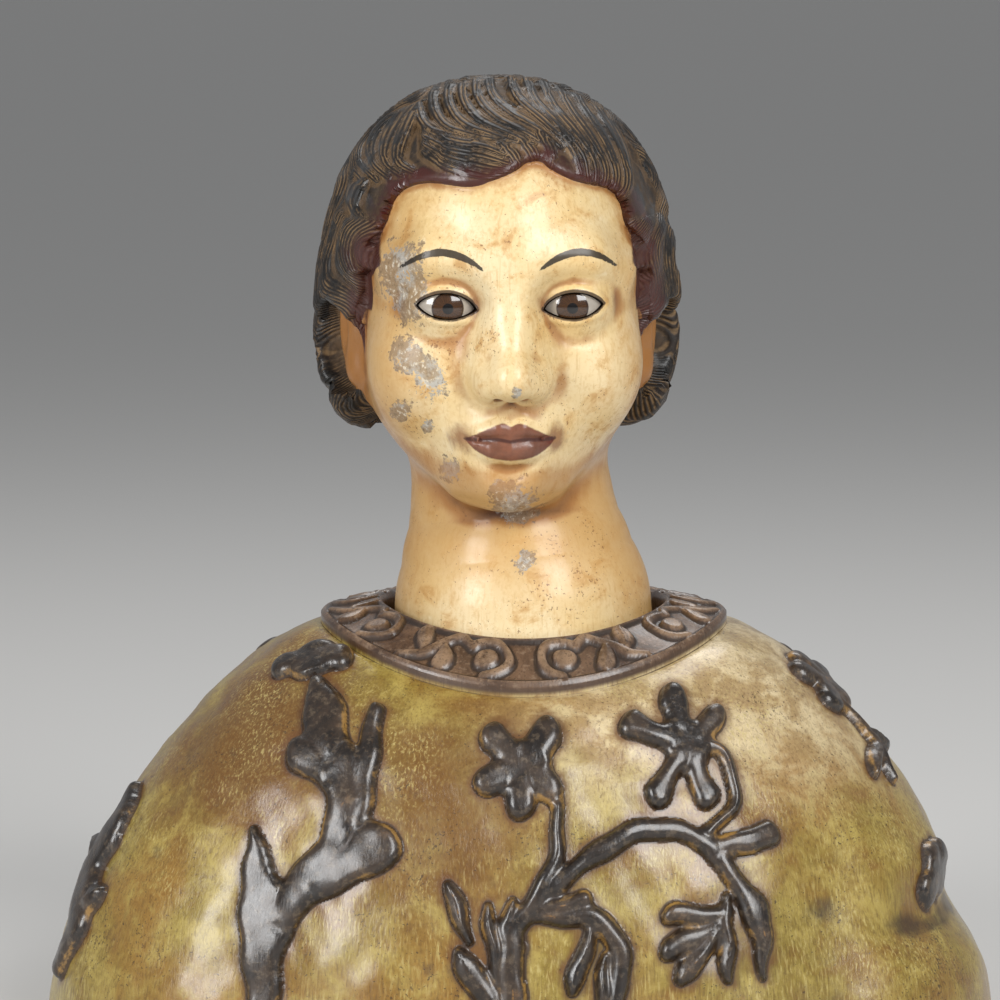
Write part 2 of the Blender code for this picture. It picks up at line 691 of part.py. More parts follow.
SIDE_SPRAY = [
    [(-63, 3, 3.4), (-64.2, 16, 4.0), (-64.6, 27, 5.4), (-64.2, 37, 6.5), (-65.5, 46, 4.6),
     (-66.8, 57, 1.2)],
    [(-61, 36, 4.8), (-52.3, 47, 4.5), (-45.6, 55, 4.7), (-44, 65, 4.9), (-45.5, 74, 5.2)],
    leaf((-46.5, 71), (-51, 92), 5.6),
    lobe((-46, 71), (-59, 77.5), 4.3, 0.9),
    [(-41, 60, 3.2), (-38.6, 74, 3.1), (-36.4, 86.5, 2.0)],
    lobe((-52, 46), (-30.6, 58), 6.0, 0.8),
    leaf((-59, -3), (-55.6, 8), 2.4),
]
# Sprays for the arms and the back, drawn on a flat patch round their own middle
BLOSSOM = flower((0, 6), [(-9, 13), (0, 19), (9, 13), (7, -2), (-7, -2)], 4.0) + [
    [(0, 0, 1.8), (2, -12, 2.0), (-1, -24, 1.4)],
    leaf((1, -10), (12, -15), 2.6),
    leaf((1, -14), (-10, -22), 2.6),
]
TREFOIL = flower((0, 0), [(-12, -2), (-1, 8), (11, 2)], 4.5, 1.3)
BROAD_LEAF = [
    [(-3, -24, 3.6), (3, -12, 6.0), (-2, 2, 6.6), (3, 14, 5.6), (0, 25, 2.4)],
    leaf((0, 2), (-12, 11), 3.6),
    leaf((1, -12), (12, -3), 3.6),
]
LONG_LEAF = [
    [(-3, -24, 2.0), (2, -12, 3.2), (-1, 2, 3.0), (3, 14, 2.4), (2, 24, 1.0)],
    leaf((0, 2), (-10, 12), 2.6),
    leaf((1, -12), (10, -4), 2.4),
]
# Each patch: strokes, angle from the front, height on the robe from 0 to 1, turn, all in degrees but height
PATCHES = (
    (TREFOIL, -59, 0.83, 10),
    (BROAD_LEAF, -78, 0.25, 8),
    (BLOSSOM, 80, 0.60, -8),
    (TREFOIL, 74, 0.27, 20),
    (BLOSSOM, 180, 0.52, 0),
    (LONG_LEAF, 148, 0.34, 14),
    (LONG_LEAF, -148, 0.34, -14),
    (TREFOIL, 122, 0.66, -30),
    (TREFOIL, -122, 0.66, 30),
)


def stroke_distance(spots, strokes, soft):
    """Distance on the flat from each spot to the strokes' edge, below zero inside, run together."""
    nearest = np.full(len(spots), 99.0)
    for stroke in strokes:
        line = smooth_line(stroke)
        margin = 8.0
        box = (spots > line[:, :2].min(0) - margin) & (spots < line[:, :2].max(0) + margin)
        inside = np.flatnonzero(box.all(1))
        if len(inside):
            places = [tuple(place) for place in line[:, :2]]
            reach = chain(spots[inside], places, list(line[:, 2]))
            nearest[inside] = join(nearest[inside], reach, soft)
    return nearest


def foliage(points, normals):
    """Distance to the raised foliage's edge, over the whole robe."""
    nearest = np.full(len(points), 99.0)
    front = np.flatnonzero(normals[:, 1] < -0.12)
    drawn = stroke_distance(points[front][:, [0, 2]], MIDDLE_SPRAY + SIDE_SPRAY, 2.4)
    nearest[front] = drawn
    for strokes, angle, rise, turn in PATCHES:
        around = math.radians(angle)
        place = robe_base(np.array([around]), np.array([rise]))[0]
        nearby = np.flatnonzero(np.linalg.norm(points - place, axis=1) < 40)
        out = normals[nearby[np.argmin(np.linalg.norm(points[nearby] - place, axis=1))]]
        across = np.cross((0, 0, 1.0), out)
        across /= np.linalg.norm(across)
        up = np.cross(out, across)
        lean = math.radians(turn)
        offset = points[nearby] - place
        flat = np.column_stack((offset @ across, offset @ up))
        swing = np.array(((math.cos(lean), -math.sin(lean)), (math.sin(lean), math.cos(lean))))
        drawn = stroke_distance(flat @ swing, strokes, 2.4)
        nearest[nearby] = np.minimum(nearest[nearby], drawn)
    return nearest


def foliage_rise(edge_distance):
    """Height of the raised foliage: round shoulders under a gently domed top."""
    inside = np.clip(-edge_distance / FOLIAGE_SHOULDER, 0, 1)
    dome = np.sqrt(1 - (1 - inside) ** 2)
    return FOLIAGE_RISE * (0.88 * dome + 0.12 * np.clip(-edge_distance / 5, 0, 1))


def robe_surface(around, rise):
    """The robe with its folds and foliage."""
    plain = robe_base(around, rise)
    tick = 1e-3
    ahead = robe_base(around + tick, rise) - robe_base(around - tick, rise)
    above = robe_base(around, np.minimum(rise + tick, 1)) - robe_base(around, np.maximum(rise - tick, 0))
    normals = np.cross(ahead, above)
    normals /= np.linalg.norm(normals, axis=1)[:, None] + 1e-12
    level = normals.copy()
    level[:, 2] = 0
    points = plain + level * folds(plain, around)[:, None]
    return points + normals * foliage_rise(foliage(points, normals))[:, None]


# Collar scrolls on the flat: millimetres along from the front's middle and across from the outer edge
SCROLL_PITCH = 31.0
BAND_DRAWN = 16.0


def scroll_unit(middle, mirror):
    """A volute inside a curl, the curl's winding stem, and two leaves beside the stem."""

    def at(along, across, half_width):
        return (middle + mirror * along, BAND_DRAWN / 2 + across, half_width)

    angles = np.radians(np.linspace(-100, -320, 9))
    curl = [at(5.9 * math.cos(angle) - 7.5, 5.6 * math.sin(angle), 1.35) for angle in angles]
    return [
        [at(-7.6, 0, 3.1), at(-7.3, 0, 3.1)],
        curl,
        [curl[-1], at(1.5, 5.4, 1.4), at(6, 2, 1.5), at(8.8, -3, 1.4), at(13, -5.6, 1.1)],
        leaf(at(4.4, 1.6, 1)[:2], at(1.4, -6.4, 1)[:2], 2.4),
        leaf(at(9.6, -1, 1)[:2], at(13.4, 6.2, 1)[:2], 2.6),
    ]


def collar_strokes():
    """The scrolls round the band, mirrored about the front's middle."""
    half_round = math.pi * (SOCKET_HALF_WIDTH + COLLAR_BAND_SIDE / 2)
    count = int(half_round / SCROLL_PITCH)
    strokes = []
    for i in range(count):
        middle = (i + 0.5) * half_round / count
        strokes += scroll_unit(middle, 1) + scroll_unit(-middle, -1)
    return strokes


def scroll_rise(spots):
    """Height of the scrolls on the flat band."""
    inside = np.clip(-stroke_distance(spots, collar_strokes(), 0.8), 0, 1)
    return SCROLL_RISE * np.sqrt(1 - (1 - inside) ** 2)


COLLAR_FOOT_SHARE = 0.12
COLLAR_TOP_SHARE = 0.86


def collar_surface(around, share):
    """From the robe at share 0 up over the band to the socket's rim, then down its wall at share 1."""
    rim = np.clip(share / COLLAR_TOP_SHARE, 0, 1)
    foot = ramp(rim, 0, COLLAR_FOOT_SHARE)
    outward = 1 - np.maximum(rim - COLLAR_FOOT_SHARE, 0) / (1 - COLLAR_FOOT_SHARE)
    level = round_value(around, ROBE_HEIGHT_SIDE, ROBE_HEIGHT_FRONT, ROBE_HEIGHT_BACK)
    lift = round_value(around, COLLAR_LIFT_SIDE, COLLAR_LIFT_FRONT, COLLAR_LIFT_BACK)
    half_round = SOCKET_HALF_WIDTH + COLLAR_BAND_SIDE / 2
    spots = np.column_stack((around * half_round, BAND_DRAWN * (1 - outward)))
    edge = np.minimum(spots[:, 1], BAND_DRAWN - spots[:, 1])
    border = np.exp(-(((edge - 0.9) / 0.8) ** 2))
    relief = np.maximum(scroll_rise(spots), border)
    relief = relief * ramp(rim, 0.06, 0.16) * (1 - ramp(share, COLLAR_TOP_SHARE - 0.02, COLLAR_TOP_SHARE))
    round_over = 1.2 * ramp(rim, 0.9, 1.0) ** 2
    down = np.clip((share - COLLAR_TOP_SHARE) / (1 - COLLAR_TOP_SHARE), 0, 1)
    top = level + COLLAR_THICKNESS * foot + lift * (1 - outward) + relief - round_over
    height = top + (SOCKET_FLOOR - top) * down
    x = SOCKET_X + (SOCKET_HALF_WIDTH + COLLAR_BAND_SIDE * outward) * np.sin(around)
    y = SOCKET_Y - (SOCKET_HALF_DEPTH + COLLAR_BAND_FRONT * outward) * np.cos(around)
    return np.column_stack((x, y, height))


COLLAR_ROWS = 26
UNDER = 3.0


def collar_care(points):
    """1 on the collar's band."""
    reach = np.hypot(
        (points[:, 0] - SOCKET_X) / COLLAR_HALF_WIDTH, (points[:, 1] - SOCKET_Y) / COLLAR_HALF_DEPTH
    )
    return ramp(reach, 0.72, 0.78) * ramp(1.06 - reach, 0, 0.04)


def make_robe(material):
    """A grid of angle and height, draped over the robe and collar, closed below and in the socket."""
    bm = bmesh.new()
    rows = ROBE_ROWS + COLLAR_ROWS
    bmesh.ops.create_grid(bm, x_segments=ROBE_AROUND, y_segments=rows, size=0.5)
    grid = np.array([vert.co for vert in bm.verts]) + 0.5
    around = (grid[:, 0] * 2 - 1) * math.pi
    around = around - 0.18 * np.sin(2 * around)
    row = grid[:, 1] * rows
    on_robe = row <= ROBE_ROWS + 1e-6
    points = np.empty((len(grid), 3))
    rise = np.minimum(row / ROBE_ROWS, 1)
    points[on_robe] = robe_surface(around[on_robe], rise[on_robe])
    share = (row[~on_robe] - ROBE_ROWS) / COLLAR_ROWS
    points[~on_robe] = collar_surface(around[~on_robe], share)
    for vert, point in zip(bm.verts, points):
        vert.co = point
    lowest = [edge for edge in bm.edges if max(edge.verts[0].co.z, edge.verts[1].co.z) < 1e-3]
    made = bmesh.ops.extrude_edge_only(bm, edges=lowest)
    under = [item for item in made["geom"] if isinstance(item, bmesh.types.BMVert)]
    bmesh.ops.translate(bm, vec=(0, 0, -UNDER), verts=under)
    bmesh.ops.remove_doubles(bm, verts=bm.verts, dist=1e-3)
    open_edges = [edge for edge in bm.edges if edge.is_boundary]
    for level in (-UNDER, SOCKET_FLOOR):
        rim = [edge for edge in open_edges if abs(edge.verts[0].co.z - level) < 0.5]
        bmesh.ops.contextual_create(bm, geom=rim)
    bmesh.ops.recalc_face_normals(bm, faces=bm.faces)
    mesh = bpy.data.meshes.new("robe")
    bm.to_mesh(mesh)
    bm.free()
    mesh = thinned(mesh, ROBE_TRIANGLES, collar_care)
    cut_flat(mesh, 0.0)
    set_points(mesh, points_of(mesh) * MM)
    return put("robe", mesh, material)


def paint(name, colour, roughness):
    material = bpy.data.materials.new(name)
    material.use_nodes = True
    shader = material.node_tree.nodes["Principled BSDF"]
    shader.inputs["Base Color"].default_value = (*colour, 1)
    shader.inputs["Roughness"].default_value = roughness
    return material


def main():
    for obj in list(bpy.data.objects):
        bpy.data.objects.remove(obj)
    glaze = paint("robe_glaze", (0.30, 0.24, 0.07), 0.35)
    flesh = paint("head_paint", (0.80, 0.66, 0.40), 0.35)
    glass = paint("eye_glass", (0.16, 0.10, 0.05), 0.08)
    make_robe(glaze)
    head = make_head(flesh)
    for name, side in (("eye_right", -1), ("eye_left", 1)):
        make_eye(name, side, head, glass)


main()
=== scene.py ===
"""Looks of a carved and painted bust: a robed figure with glass eyes.

The head, the robe and both eyes are carved again here from the same forms as the solids, but
finely enough for strands, petals and scrolls, and each stands for its solid. Millimetres are used
up to the point where a piece is put in its place. Front is -Y and up is +Z.
"""

import math

import bpy
import bmesh
import numpy as np
from mathutils import Matrix, Vector


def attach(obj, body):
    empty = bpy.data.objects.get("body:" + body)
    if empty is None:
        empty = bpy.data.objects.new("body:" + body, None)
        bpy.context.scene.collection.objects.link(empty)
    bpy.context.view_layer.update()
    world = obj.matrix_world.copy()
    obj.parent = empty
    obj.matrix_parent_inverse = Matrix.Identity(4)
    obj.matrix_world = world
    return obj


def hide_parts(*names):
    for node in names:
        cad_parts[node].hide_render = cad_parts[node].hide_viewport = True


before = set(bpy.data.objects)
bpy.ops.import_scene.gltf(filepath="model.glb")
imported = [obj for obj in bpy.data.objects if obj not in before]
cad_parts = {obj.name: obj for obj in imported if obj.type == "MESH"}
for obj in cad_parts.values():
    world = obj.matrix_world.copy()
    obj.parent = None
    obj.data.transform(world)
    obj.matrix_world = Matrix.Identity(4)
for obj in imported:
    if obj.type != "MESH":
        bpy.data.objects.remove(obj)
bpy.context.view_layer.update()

MM = 0.001
# Driving sizes in millimetres
HEAD_HEIGHT = 111.0
ROBE_WIDTH = 247.0
ROBE_DEPTH = 153.8
ROBE_HEIGHT_SIDE = 103.5
ROBE_HEIGHT_FRONT = 90.0
ROBE_HEIGHT_BACK = 103.0
COLLAR_BAND_SIDE = 16.5
COLLAR_BAND_FRONT = 12.5
COLLAR_THICKNESS = 2.4
COLLAR_LIFT_SIDE = 3.0
COLLAR_LIFT_FRONT = 11.0
COLLAR_LIFT_BACK = 4.6
SOCKET_DEPTH = 19.0
SOCKET_GAP_FRONT = 0.8
SOCKET_GAP_BACK = 2.6
SOCKET_GAP_SIDE = 2.0
FOLIAGE_RISE = 3.0
FOLIAGE_SHOULDER = 2.6
FOLIAGE_SOFT = 2.4
SCROLL_RISE = 1.3
EYE_RADIUS = 9.9
EYE_THICKNESS = 5.5
SEAT_GAP = 0.3
# The head is carved in shares of its height: its form below is drawn 111 high
HEAD_DRAWN = 111.0
HEAD_SCALE = HEAD_HEIGHT / HEAD_DRAWN
NECK_FOOT_DRAWN = 34.3
NECK_DRAWN_BOTTOM = -102.0
NECK_FOOT_XY = (6.0, 3.5)
NECK_RADIUS = NECK_FOOT_DRAWN * HEAD_SCALE
# The foliage on the breast makes up the depth in front
ROBE_FRONT = ROBE_DEPTH / 2 - FOLIAGE_RISE
ROBE_BACK = ROBE_DEPTH / 2
# Where the neck stands in the robe
NECK_PLACE = (1.0, 4.7)
SOCKET_X = NECK_PLACE[0]
SOCKET_Y = NECK_PLACE[1] + (SOCKET_GAP_BACK - SOCKET_GAP_FRONT) / 2
SOCKET_HALF_WIDTH = NECK_RADIUS + SOCKET_GAP_SIDE
SOCKET_HALF_DEPTH = NECK_RADIUS + (SOCKET_GAP_FRONT + SOCKET_GAP_BACK) / 2
SOCKET_FLOOR = ROBE_HEIGHT_SIDE + COLLAR_THICKNESS - SOCKET_DEPTH
COLLAR_HALF_WIDTH = SOCKET_HALF_WIDTH + COLLAR_BAND_SIDE
COLLAR_HALF_DEPTH = SOCKET_HALF_DEPTH + COLLAR_BAND_FRONT
HEAD_PLACE = (
    NECK_PLACE[0] - NECK_FOOT_XY[0] * HEAD_SCALE,
    NECK_PLACE[1] - NECK_FOOT_XY[1] * HEAD_SCALE,
    SOCKET_FLOOR + SEAT_GAP - NECK_DRAWN_BOTTOM * HEAD_SCALE,
)
HEAD_YAW = math.radians(3.5)
HEAD_NOD = math.radians(1.5)
# Fineness of the meshes
HEAD_BLANK_CELL = 3.0
HEAD_FINE_CELL = 0.9
HEAD_TOUCHES = 2
ROBE_COLUMNS = 296
ROBE_LINES = 78
COLLAR_LINES = 24
# The robe's mesh is cut finer within these distances of the foliage's edge
FINER_REACHES = ((2.1, 0.85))

# Strands within each lock of hair
STRANDS = 5
STRAND_DEPTH = 0.42
# Points closer than this are one point, and edges sharper than this many degrees stay crisp
SEAM = 0.02
CRISP = 50
# Spots with no stroke near: a far distance for each form that stroke_forms gives
FAR = (99.0, 99.0, 99.0, 9.0, 1.0, 0.0)

# Paint: browned places of the robe with their strengths, scale of brush strokes, depth of fine relief
BROWN_PATCHES = (((-0.070, -0.035, 0.084), 0.85), ((-0.024, -0.068, 0.070), 0.65))
STROKE_SCALE = (1500, 1500, 120)
BUMP_DEPTH = 0.0004
# Light and dark turn twice across each strand, in radians
COMBED = 12.566
FLOOR_GREY = (0.62, 0.61, 0.59, 1)
IRIS_RADIUS = 4.2
PUPIL_RADIUS = 1.45
# Camera and lamps, in metres, degrees and watts
CAMERA_TARGET = Vector((-0.0052, 0.0058, 0.135))
CAMERA_AWAY = 1.5
CAMERA_LIFT = 6
HALF_VIEW = 0.13
LAMP_TARGET = Vector((0, 0, 0.15))
LAMPS = (
    ("key_right", (0.75, -1.15, 0.95), (0.7, 0.9), 19.5),
    ("fill_left", (-0.95, -0.95, 0.60), (0.5, 0.7), 12.5),
    ("top_back", (0.1, 0.75, 1.2), (0.8, 0.4), 5),
)


def ellipsoid(points, centre, radii):
    """Rough distance to an ellipsoid, below zero inside."""
    offset = points - np.array(centre)
    radii = np.array(radii)
    near = np.linalg.norm(offset / radii, axis=1)
    far = np.linalg.norm(offset / radii**2, axis=1) + 1e-9
    return near * (near - 1.0) / far


def limb(points, start, end, start_radius, end_radius):
    """Distance to a round bar that tapers from start to end."""
    start, end = np.array(start, float), np.array(end, float)
    along = end - start
    share = np.clip(((points - start) @ along) / (along @ along), 0, 1)
    reach = np.linalg.norm(points - start - share[:, None] * along, axis=1)
    return reach - (start_radius + (end_radius - start_radius) * share)


def chain(points, places, radii):
    """Distance to bars laid end to end through places."""
    bars = [
        limb(points, places[i], places[i + 1], radii[i], radii[i + 1])
        for i in range(len(places) - 1)
    ]
    return np.minimum.reduce(bars)


def join(first, second, soft):
    """Both forms, run together over a fillet of about soft."""
    near = np.maximum(soft - np.abs(first - second), 0) / soft
    return np.minimum(first, second) - near * near * soft / 4


def carve(form, tool, soft):
    """The form with the tool's shape taken away."""
    return -join(-form, tool, soft)


def ramp(value, low, high):
    """0 below low, 1 above high, and a smooth step between."""
    share = np.clip((value - low) / (high - low), 0, 1)
    return share * share * (3 - 2 * share)


def turn_matrix():
    """Turns the head from straight ahead to its pose."""
    yaw = Matrix.Rotation(HEAD_YAW, 3, "Z")
    nod = Matrix.Rotation(HEAD_NOD, 3, "X")
    return np.array(yaw @ nod)


HEAD_TURN = turn_matrix()
# The eye in the head's drawing: middle of the glass ball and the opening's half width
EYE_PLACE = np.array((16.0, -29.4, 0.0))
EYE_BALL = EYE_RADIUS / HEAD_SCALE
LID_BALL = EYE_BALL + 1.1
EYE_HALF = 7.8
LID_STEPS = 9
EYE_OUTLINE_STEPS = 33


def eye_opening(share):
    """Heights of the upper and lower lid edge, for share from -1 at the nose to 1 at the temple."""
    bow = np.maximum(1 - share * share, 0)
    upper = 3.9 * bow**0.75 * (1 - 0.10 * share) + 0.6 * share
    lower = -3.0 * bow**0.85 * (1 + 0.15 * share) + 0.6 * share
    return upper, lower


def lid_line(side, radius, grow):
    """Points along a lid edge on a ball, moved out by grow. Side is 1 above and -1 below."""
    places = []
    for share in np.linspace(-1, 1, LID_STEPS):
        upper, lower = eye_opening(share)
        height = (upper if side > 0 else lower) + side * grow
        across = EYE_HALF * share * (1 + 0.1 * grow)
        depth = math.sqrt(max(radius**2 - across**2 - height**2, 0.01))
        places.append(EYE_PLACE + (across, -depth, height))
    return places


def tapered(end, middle):
    """Radii along a lid line, thin at both corners."""
    return [end] + [middle] * (LID_STEPS - 2) + [end]


def skull(q):
    form = ellipsoid(q, (0, 10, 12), (37.5, 46, 40))
    form = join(form, ellipsoid(q, (0, -5, 15), (33.5, 38, 34)), 8)
    form = join(form, ellipsoid(q, (0, -4, -12), (33.5, 36.5, 38)), 10)
    form = join(form, limb(q, (26, 6, -20), (8, -24, -42), 10.5, 9.5), 9)
    form = join(form, ellipsoid(q, (0, -32.6, -44), (9.6, 9.2, 8.6)), 8)
    form = join(form, ellipsoid(q, (20.5, -20, -17), (14, 16, 16)), 9)
    form = join(form, ellipsoid(q, (0, -29.6, -31), (15, 12.5, 11)), 8)
    form = join(form, limb(q, (5, -38.4, 9.8), (19, -34.4, 11.6), 2.9, 2.8), 10)
    form = join(form, limb(q, (19, -34.4, 11.6), (28, -24.0, 8), 2.8, 2.4), 10)
    return carve(form, ellipsoid(q, (16.6, -43.8, 0), (10.6, 6.2, 7.2)), 7)


def nose(q, form):
    form = join(form, limb(q, (0, -38.2, 9), (0, -46.6, -14.5), 3.4, 4.2), 8)
    form = join(form, limb(q, (3.0, -39.4, -6), (5.6, -40.6, -15.5), 2.8, 3.9), 7)
    form = join(form, ellipsoid(q, (0, -47.8, -18), (5.2, 5.2, 4.8)), 4.5)
    form = join(form, ellipsoid(q, (5.3, -42.6, -19.4), (3.5, 5.0, 3.7)), 4.5)
    return carve(form, ellipsoid(q, (3.1, -46.0, -23.1), (1.5, 2.5, 1.6)), 1.4)


def lids(q, form):
    form = join(form, np.linalg.norm(q - EYE_PLACE, axis=1) - LID_BALL, 1.6)
    form = join(form, chain(q, lid_line(1, LID_BALL - 0.45, 0.55), tapered(0.7, 1.0)), 1)
    return join(form, chain(q, lid_line(-1, LID_BALL - 0.65, 0.5), tapered(0.6, 0.9)), 1.2)


UPPER_LIP = [(0, -41.2, -31.0), (3, -41.4, -30.4), (7, -39.6, -31.6), (10.8, -36.8, -32.9)]
LOWER_LIP = [(0, -40.6, -36.1), (4.4, -40.1, -35.8), (8, -38.4, -34.8), (10.6, -36.6, -33.5)]
LIP_PARTING = [(0, -44.5, -33.4), (3.4, -44.0, -32.9), (7.2, -41.7, -33.1), (10.9, -38.2, -32.9)]


def mouth(q, form):
    form = carve(form, limb(q, (0, -44.8, -25.8), (0, -45, -28.4), 1.0, 1.3), 2.4)
    form = carve(form, ellipsoid(q, (0, -44.8, -40.8), (8, 3.4, 2.2)), 4.5)
    form = join(form, chain(q, UPPER_LIP, [2.3, 2.5, 2.0, 0.9]), 2)
    form = join(form, chain(q, LOWER_LIP, [3.2, 2.9, 1.9, 0.9]), 2)
    return carve(form, chain(q, LIP_PARTING, [0.45, 0.45, 0.45, 0.5]), 1.2)


def ears(q, form):
    form = join(form, ellipsoid(q, (36.6, 7, -8), (5, 8, 13)), 3)
    form = join(form, ellipsoid(q, (36.2, 3.5, -19.5), (3.6, 4.4, 5.2)), 2)
    return carve(form, ellipsoid(q, (42.6, 4.5, -9), (3.8, 4.6, 8)), 1.6)


def neck(p):
    foot_x, foot_y = NECK_FOOT_XY
    places = [(foot_x, foot_y, -112), (foot_x, foot_y, -92), (5.8, 3.6, -82), (4.6, 4.2, -72),
              (3.6, 5.4, -62), (2.4, 7.4, -48), (1, 9, -30)]
    foot = NECK_FOOT_DRAWN
    return chain(p, places, [foot, foot, foot - 0.9, foot - 3.9, foot - 6.8, foot - 8.6, foot - 9])


# Hair: locks fall from a whorl at the crown, wave, and end in scallops round the face
WHORL = np.array((0.06, 0.30, 0.95)) / math.sqrt(0.06**2 + 0.30**2 + 0.95**2)
HAIR_MIDDLE = (0, 8, 8)
LOCKS = 22
LOCK_RISE = 2.8
WAVES = 8.5
FACE_WINDOW = (37.6, 38.5)
FACE_WINDOW_MIDDLE = -4.0
# Broad lobes of hair over the face: angle from the top in degrees, reach, breadth in degrees
LOBES = ((-16, 3.6, 13), (-52, 2.6, 9), (-78, 2.2, 7), (27, 1.6, 9), (52, 3.0, 8), (9, -2.6, 6))


def smooth_line(places, steps=4):
    """More points along a smooth curve through places, each (across, up, half width)."""
    places = np.array(places, float)
    ends = np.vstack((2 * places[0] - places[1], places, 2 * places[-1] - places[-2]))
    line = []
    for i in range(len(places) - 1):
        a, b, c, d = ends[i : i + 4]
        for t in np.arange(steps) / steps:
            line.append(
                0.5 * (2 * b + (c - a) * t + (2 * a - 5 * b + 4 * c - d) * t**2
                       + (3 * b - a - 3 * c + d) * t**3)
            )
    line.append(places[-1])
    return np.array(line)


def beside(spots, line, margin):
    """Which spots lie inside a line's box with a margin round it."""
    box = (spots > line[:, :2].min(0) - margin) & (spots < line[:, :2].max(0) + margin)
    return np.flatnonzero(box.all(1))


def line_parts(spots, line):
    """For each straight part of a line: its way, and each spot's offset, reach and half width."""
    for start, end in zip(line[:-1], line[1:]):
        along = end[:2] - start[:2]
        share = np.clip(((spots - start[:2]) @ along) / (along @ along), 0, 1)
        offset = spots - start[:2] - share[:, None] * along
        wide = start[2] + (end[2] - start[2]) * share
        yield along, offset, np.linalg.norm(offset, axis=1), wide


# Fans of locks over the forehead, seen from the front: the first and the last lock's line, right of
# and above the eyes' middle, the number of locks and their half width
LOCK_FANS = (
    (
        ((-39, 31), (-43.5, 28), (-44, 23), (-40.5, 19.5)),
        ((-36, 30), (-38, 27), (-38.5, 23), (-36, 20.5)),
        2,
        1.8,
    ),
    (
        ((-18, 57), (-30, 52), (-38.5, 43), (-40, 35), (-36, 30)),
        ((-22, 49.5), (-25, 45), (-27.5, 39.5), (-27.5, 35.5), (-24, 33.5)),
        5,
        1.9,
    ),
    (
        ((-20.5, 44), (-13.5, 41.5), (-6, 40.5), (1, 37.5)),
        ((-21, 38.5), (-15.5, 35.5), (-7.5, 33.5), (0, 33)),
        4,
        1.7,
    ),
    (((-2, 41), (1, 38), (2, 34.5)), ((8, 43.5), (10.5, 39.5), (10, 35)), 3, 1.8),
    (
        ((-16, 57.5), (-21.5, 51), (-20.5, 45), (-13.5, 43), (-3.5, 42)),
        ((-2.5, 58.5), (-3.5, 53), (1, 48.5), (8, 44.5), (13, 40)),
        6,
        1.6,
    ),
    (
        ((2.5, 58.5), (3, 52.5), (9.5, 46.5), (16, 40), (18.5, 33)),
        ((20.5, 54), (26, 46), (30, 38), (31, 30), (27, 25)),
        6,
        1.8,
    ),
)


def front_locks():
    """Each swept lock's line with its half widths, slim at both ends."""
    locks = []
    for first, last, count, half_width in LOCK_FANS:
        for share in np.linspace(0, 1, count):
            line = np.array(first, float) * (1 - share) + np.array(last, float) * share
            slim = np.interp(np.linspace(0, 1, len(line)), (0, 0.4, 1), (0.8, 1.1, 0.6))
            locks.append(smooth_line(np.column_stack((line, half_width * slim))))
    return locks


def lock_place(q):
    """Angle from the whorl, and place across the locks: its whole part counts them."""
    offset = q - np.array(HAIR_MIDDLE)
    way = offset / (np.linalg.norm(offset, axis=1)[:, None] + 1e-9)
    ahead = np.array((0, -1.0, 0))
    ahead = ahead - WHORL * (ahead @ WHORL)
    ahead /= np.linalg.norm(ahead)
    side = np.cross(WHORL, ahead)
    fall = np.arccos(np.clip(way @ WHORL, -1, 1))
    around = np.arctan2(way @ side, way @ ahead)
    sway = 0.15 / np.maximum(np.sin(fall), 0.45)
    sway = sway * np.sin(WAVES * fall + 1.4 * np.sin(2 * around) + 1.1 * np.sin(5 * around + 1))
    return fall, LOCKS * (around + sway + 0.22 * fall) / (2 * math.pi)


def lock_sweep(spots):
    """Height of the swept locks in millimetres at each spot, and the place across their strands."""
    high = np.zeros(len(spots))
    strand = np.zeros(len(spots))
    for line in front_locks():
        inside = beside(spots, line, 6)
        if not len(inside):
            continue
        share_out = np.full(len(inside), 9.0)
        across = np.zeros(len(inside))
        width = np.ones(len(inside))
        for along, offset, reach, wide in line_parts(spots[inside], line):
            reach = reach / wide
            side = np.sign(along[0] * offset[:, 1] - along[1] * offset[:, 0])
            nearer = reach < share_out
            share_out = np.where(nearer, reach, share_out)
            across = np.where(nearer, side * reach, across)
            width = np.where(nearer, wide, width)
        lift = 1.25 * width**0.6 * np.sqrt(np.maximum(1 - share_out**2, 0))
        higher = lift > high[inside]
        count = np.maximum(np.round(width * 0.9), 1.6)
        strand[inside] = np.where(higher, (across * 0.5 + 0.5) * count, strand[inside])
        high[inside] = np.maximum(high[inside], lift)
    return high, strand


def strand_groove(place):
    """1 in the narrow groove between two strands and 0 along a strand's top."""
    return 1 - np.sqrt(np.abs(np.sin(math.pi * place)))


def swept_zone(q):
    """1 over the forehead, where the locks are swept, and 0 where they hang."""
    return ramp(-q[:, 1], -2, 8) * ramp(q[:, 2], 17, 25)


def lock_relief(q, strands=0.0):
    """Height of the locks over the hair's mass, and each point's dome within its lock."""
    fall, place = lock_place(q)
    share = place - np.floor(place)
    dome = np.sqrt(np.maximum(1 - (2 * share - 1) ** 2, 0))
    relief = LOCK_RISE * ramp(fall, 0.10, 0.65) * dome
    zone = swept_zone(q)
    swept, across = lock_sweep(q[:, [0, 2]])
    relief = relief + (swept - relief) * zone
    dome = dome + (np.minimum(swept / 3, 1) - dome) * zone
    if strands:
        groove = strand_groove(strand_place(fall, place, across, zone))
        relief = relief - strands * groove * ramp(fall, 0.05, 0.4)
    return relief, dome


def strand_place(fall, place, across, zone):
    """Place across the strands, over locks that hang and locks that are swept."""
    hanging = place * STRANDS + 0.2 * np.sin(9 * fall + 5 * np.floor(place))
    return np.where(zone > 0.5, across, hanging)


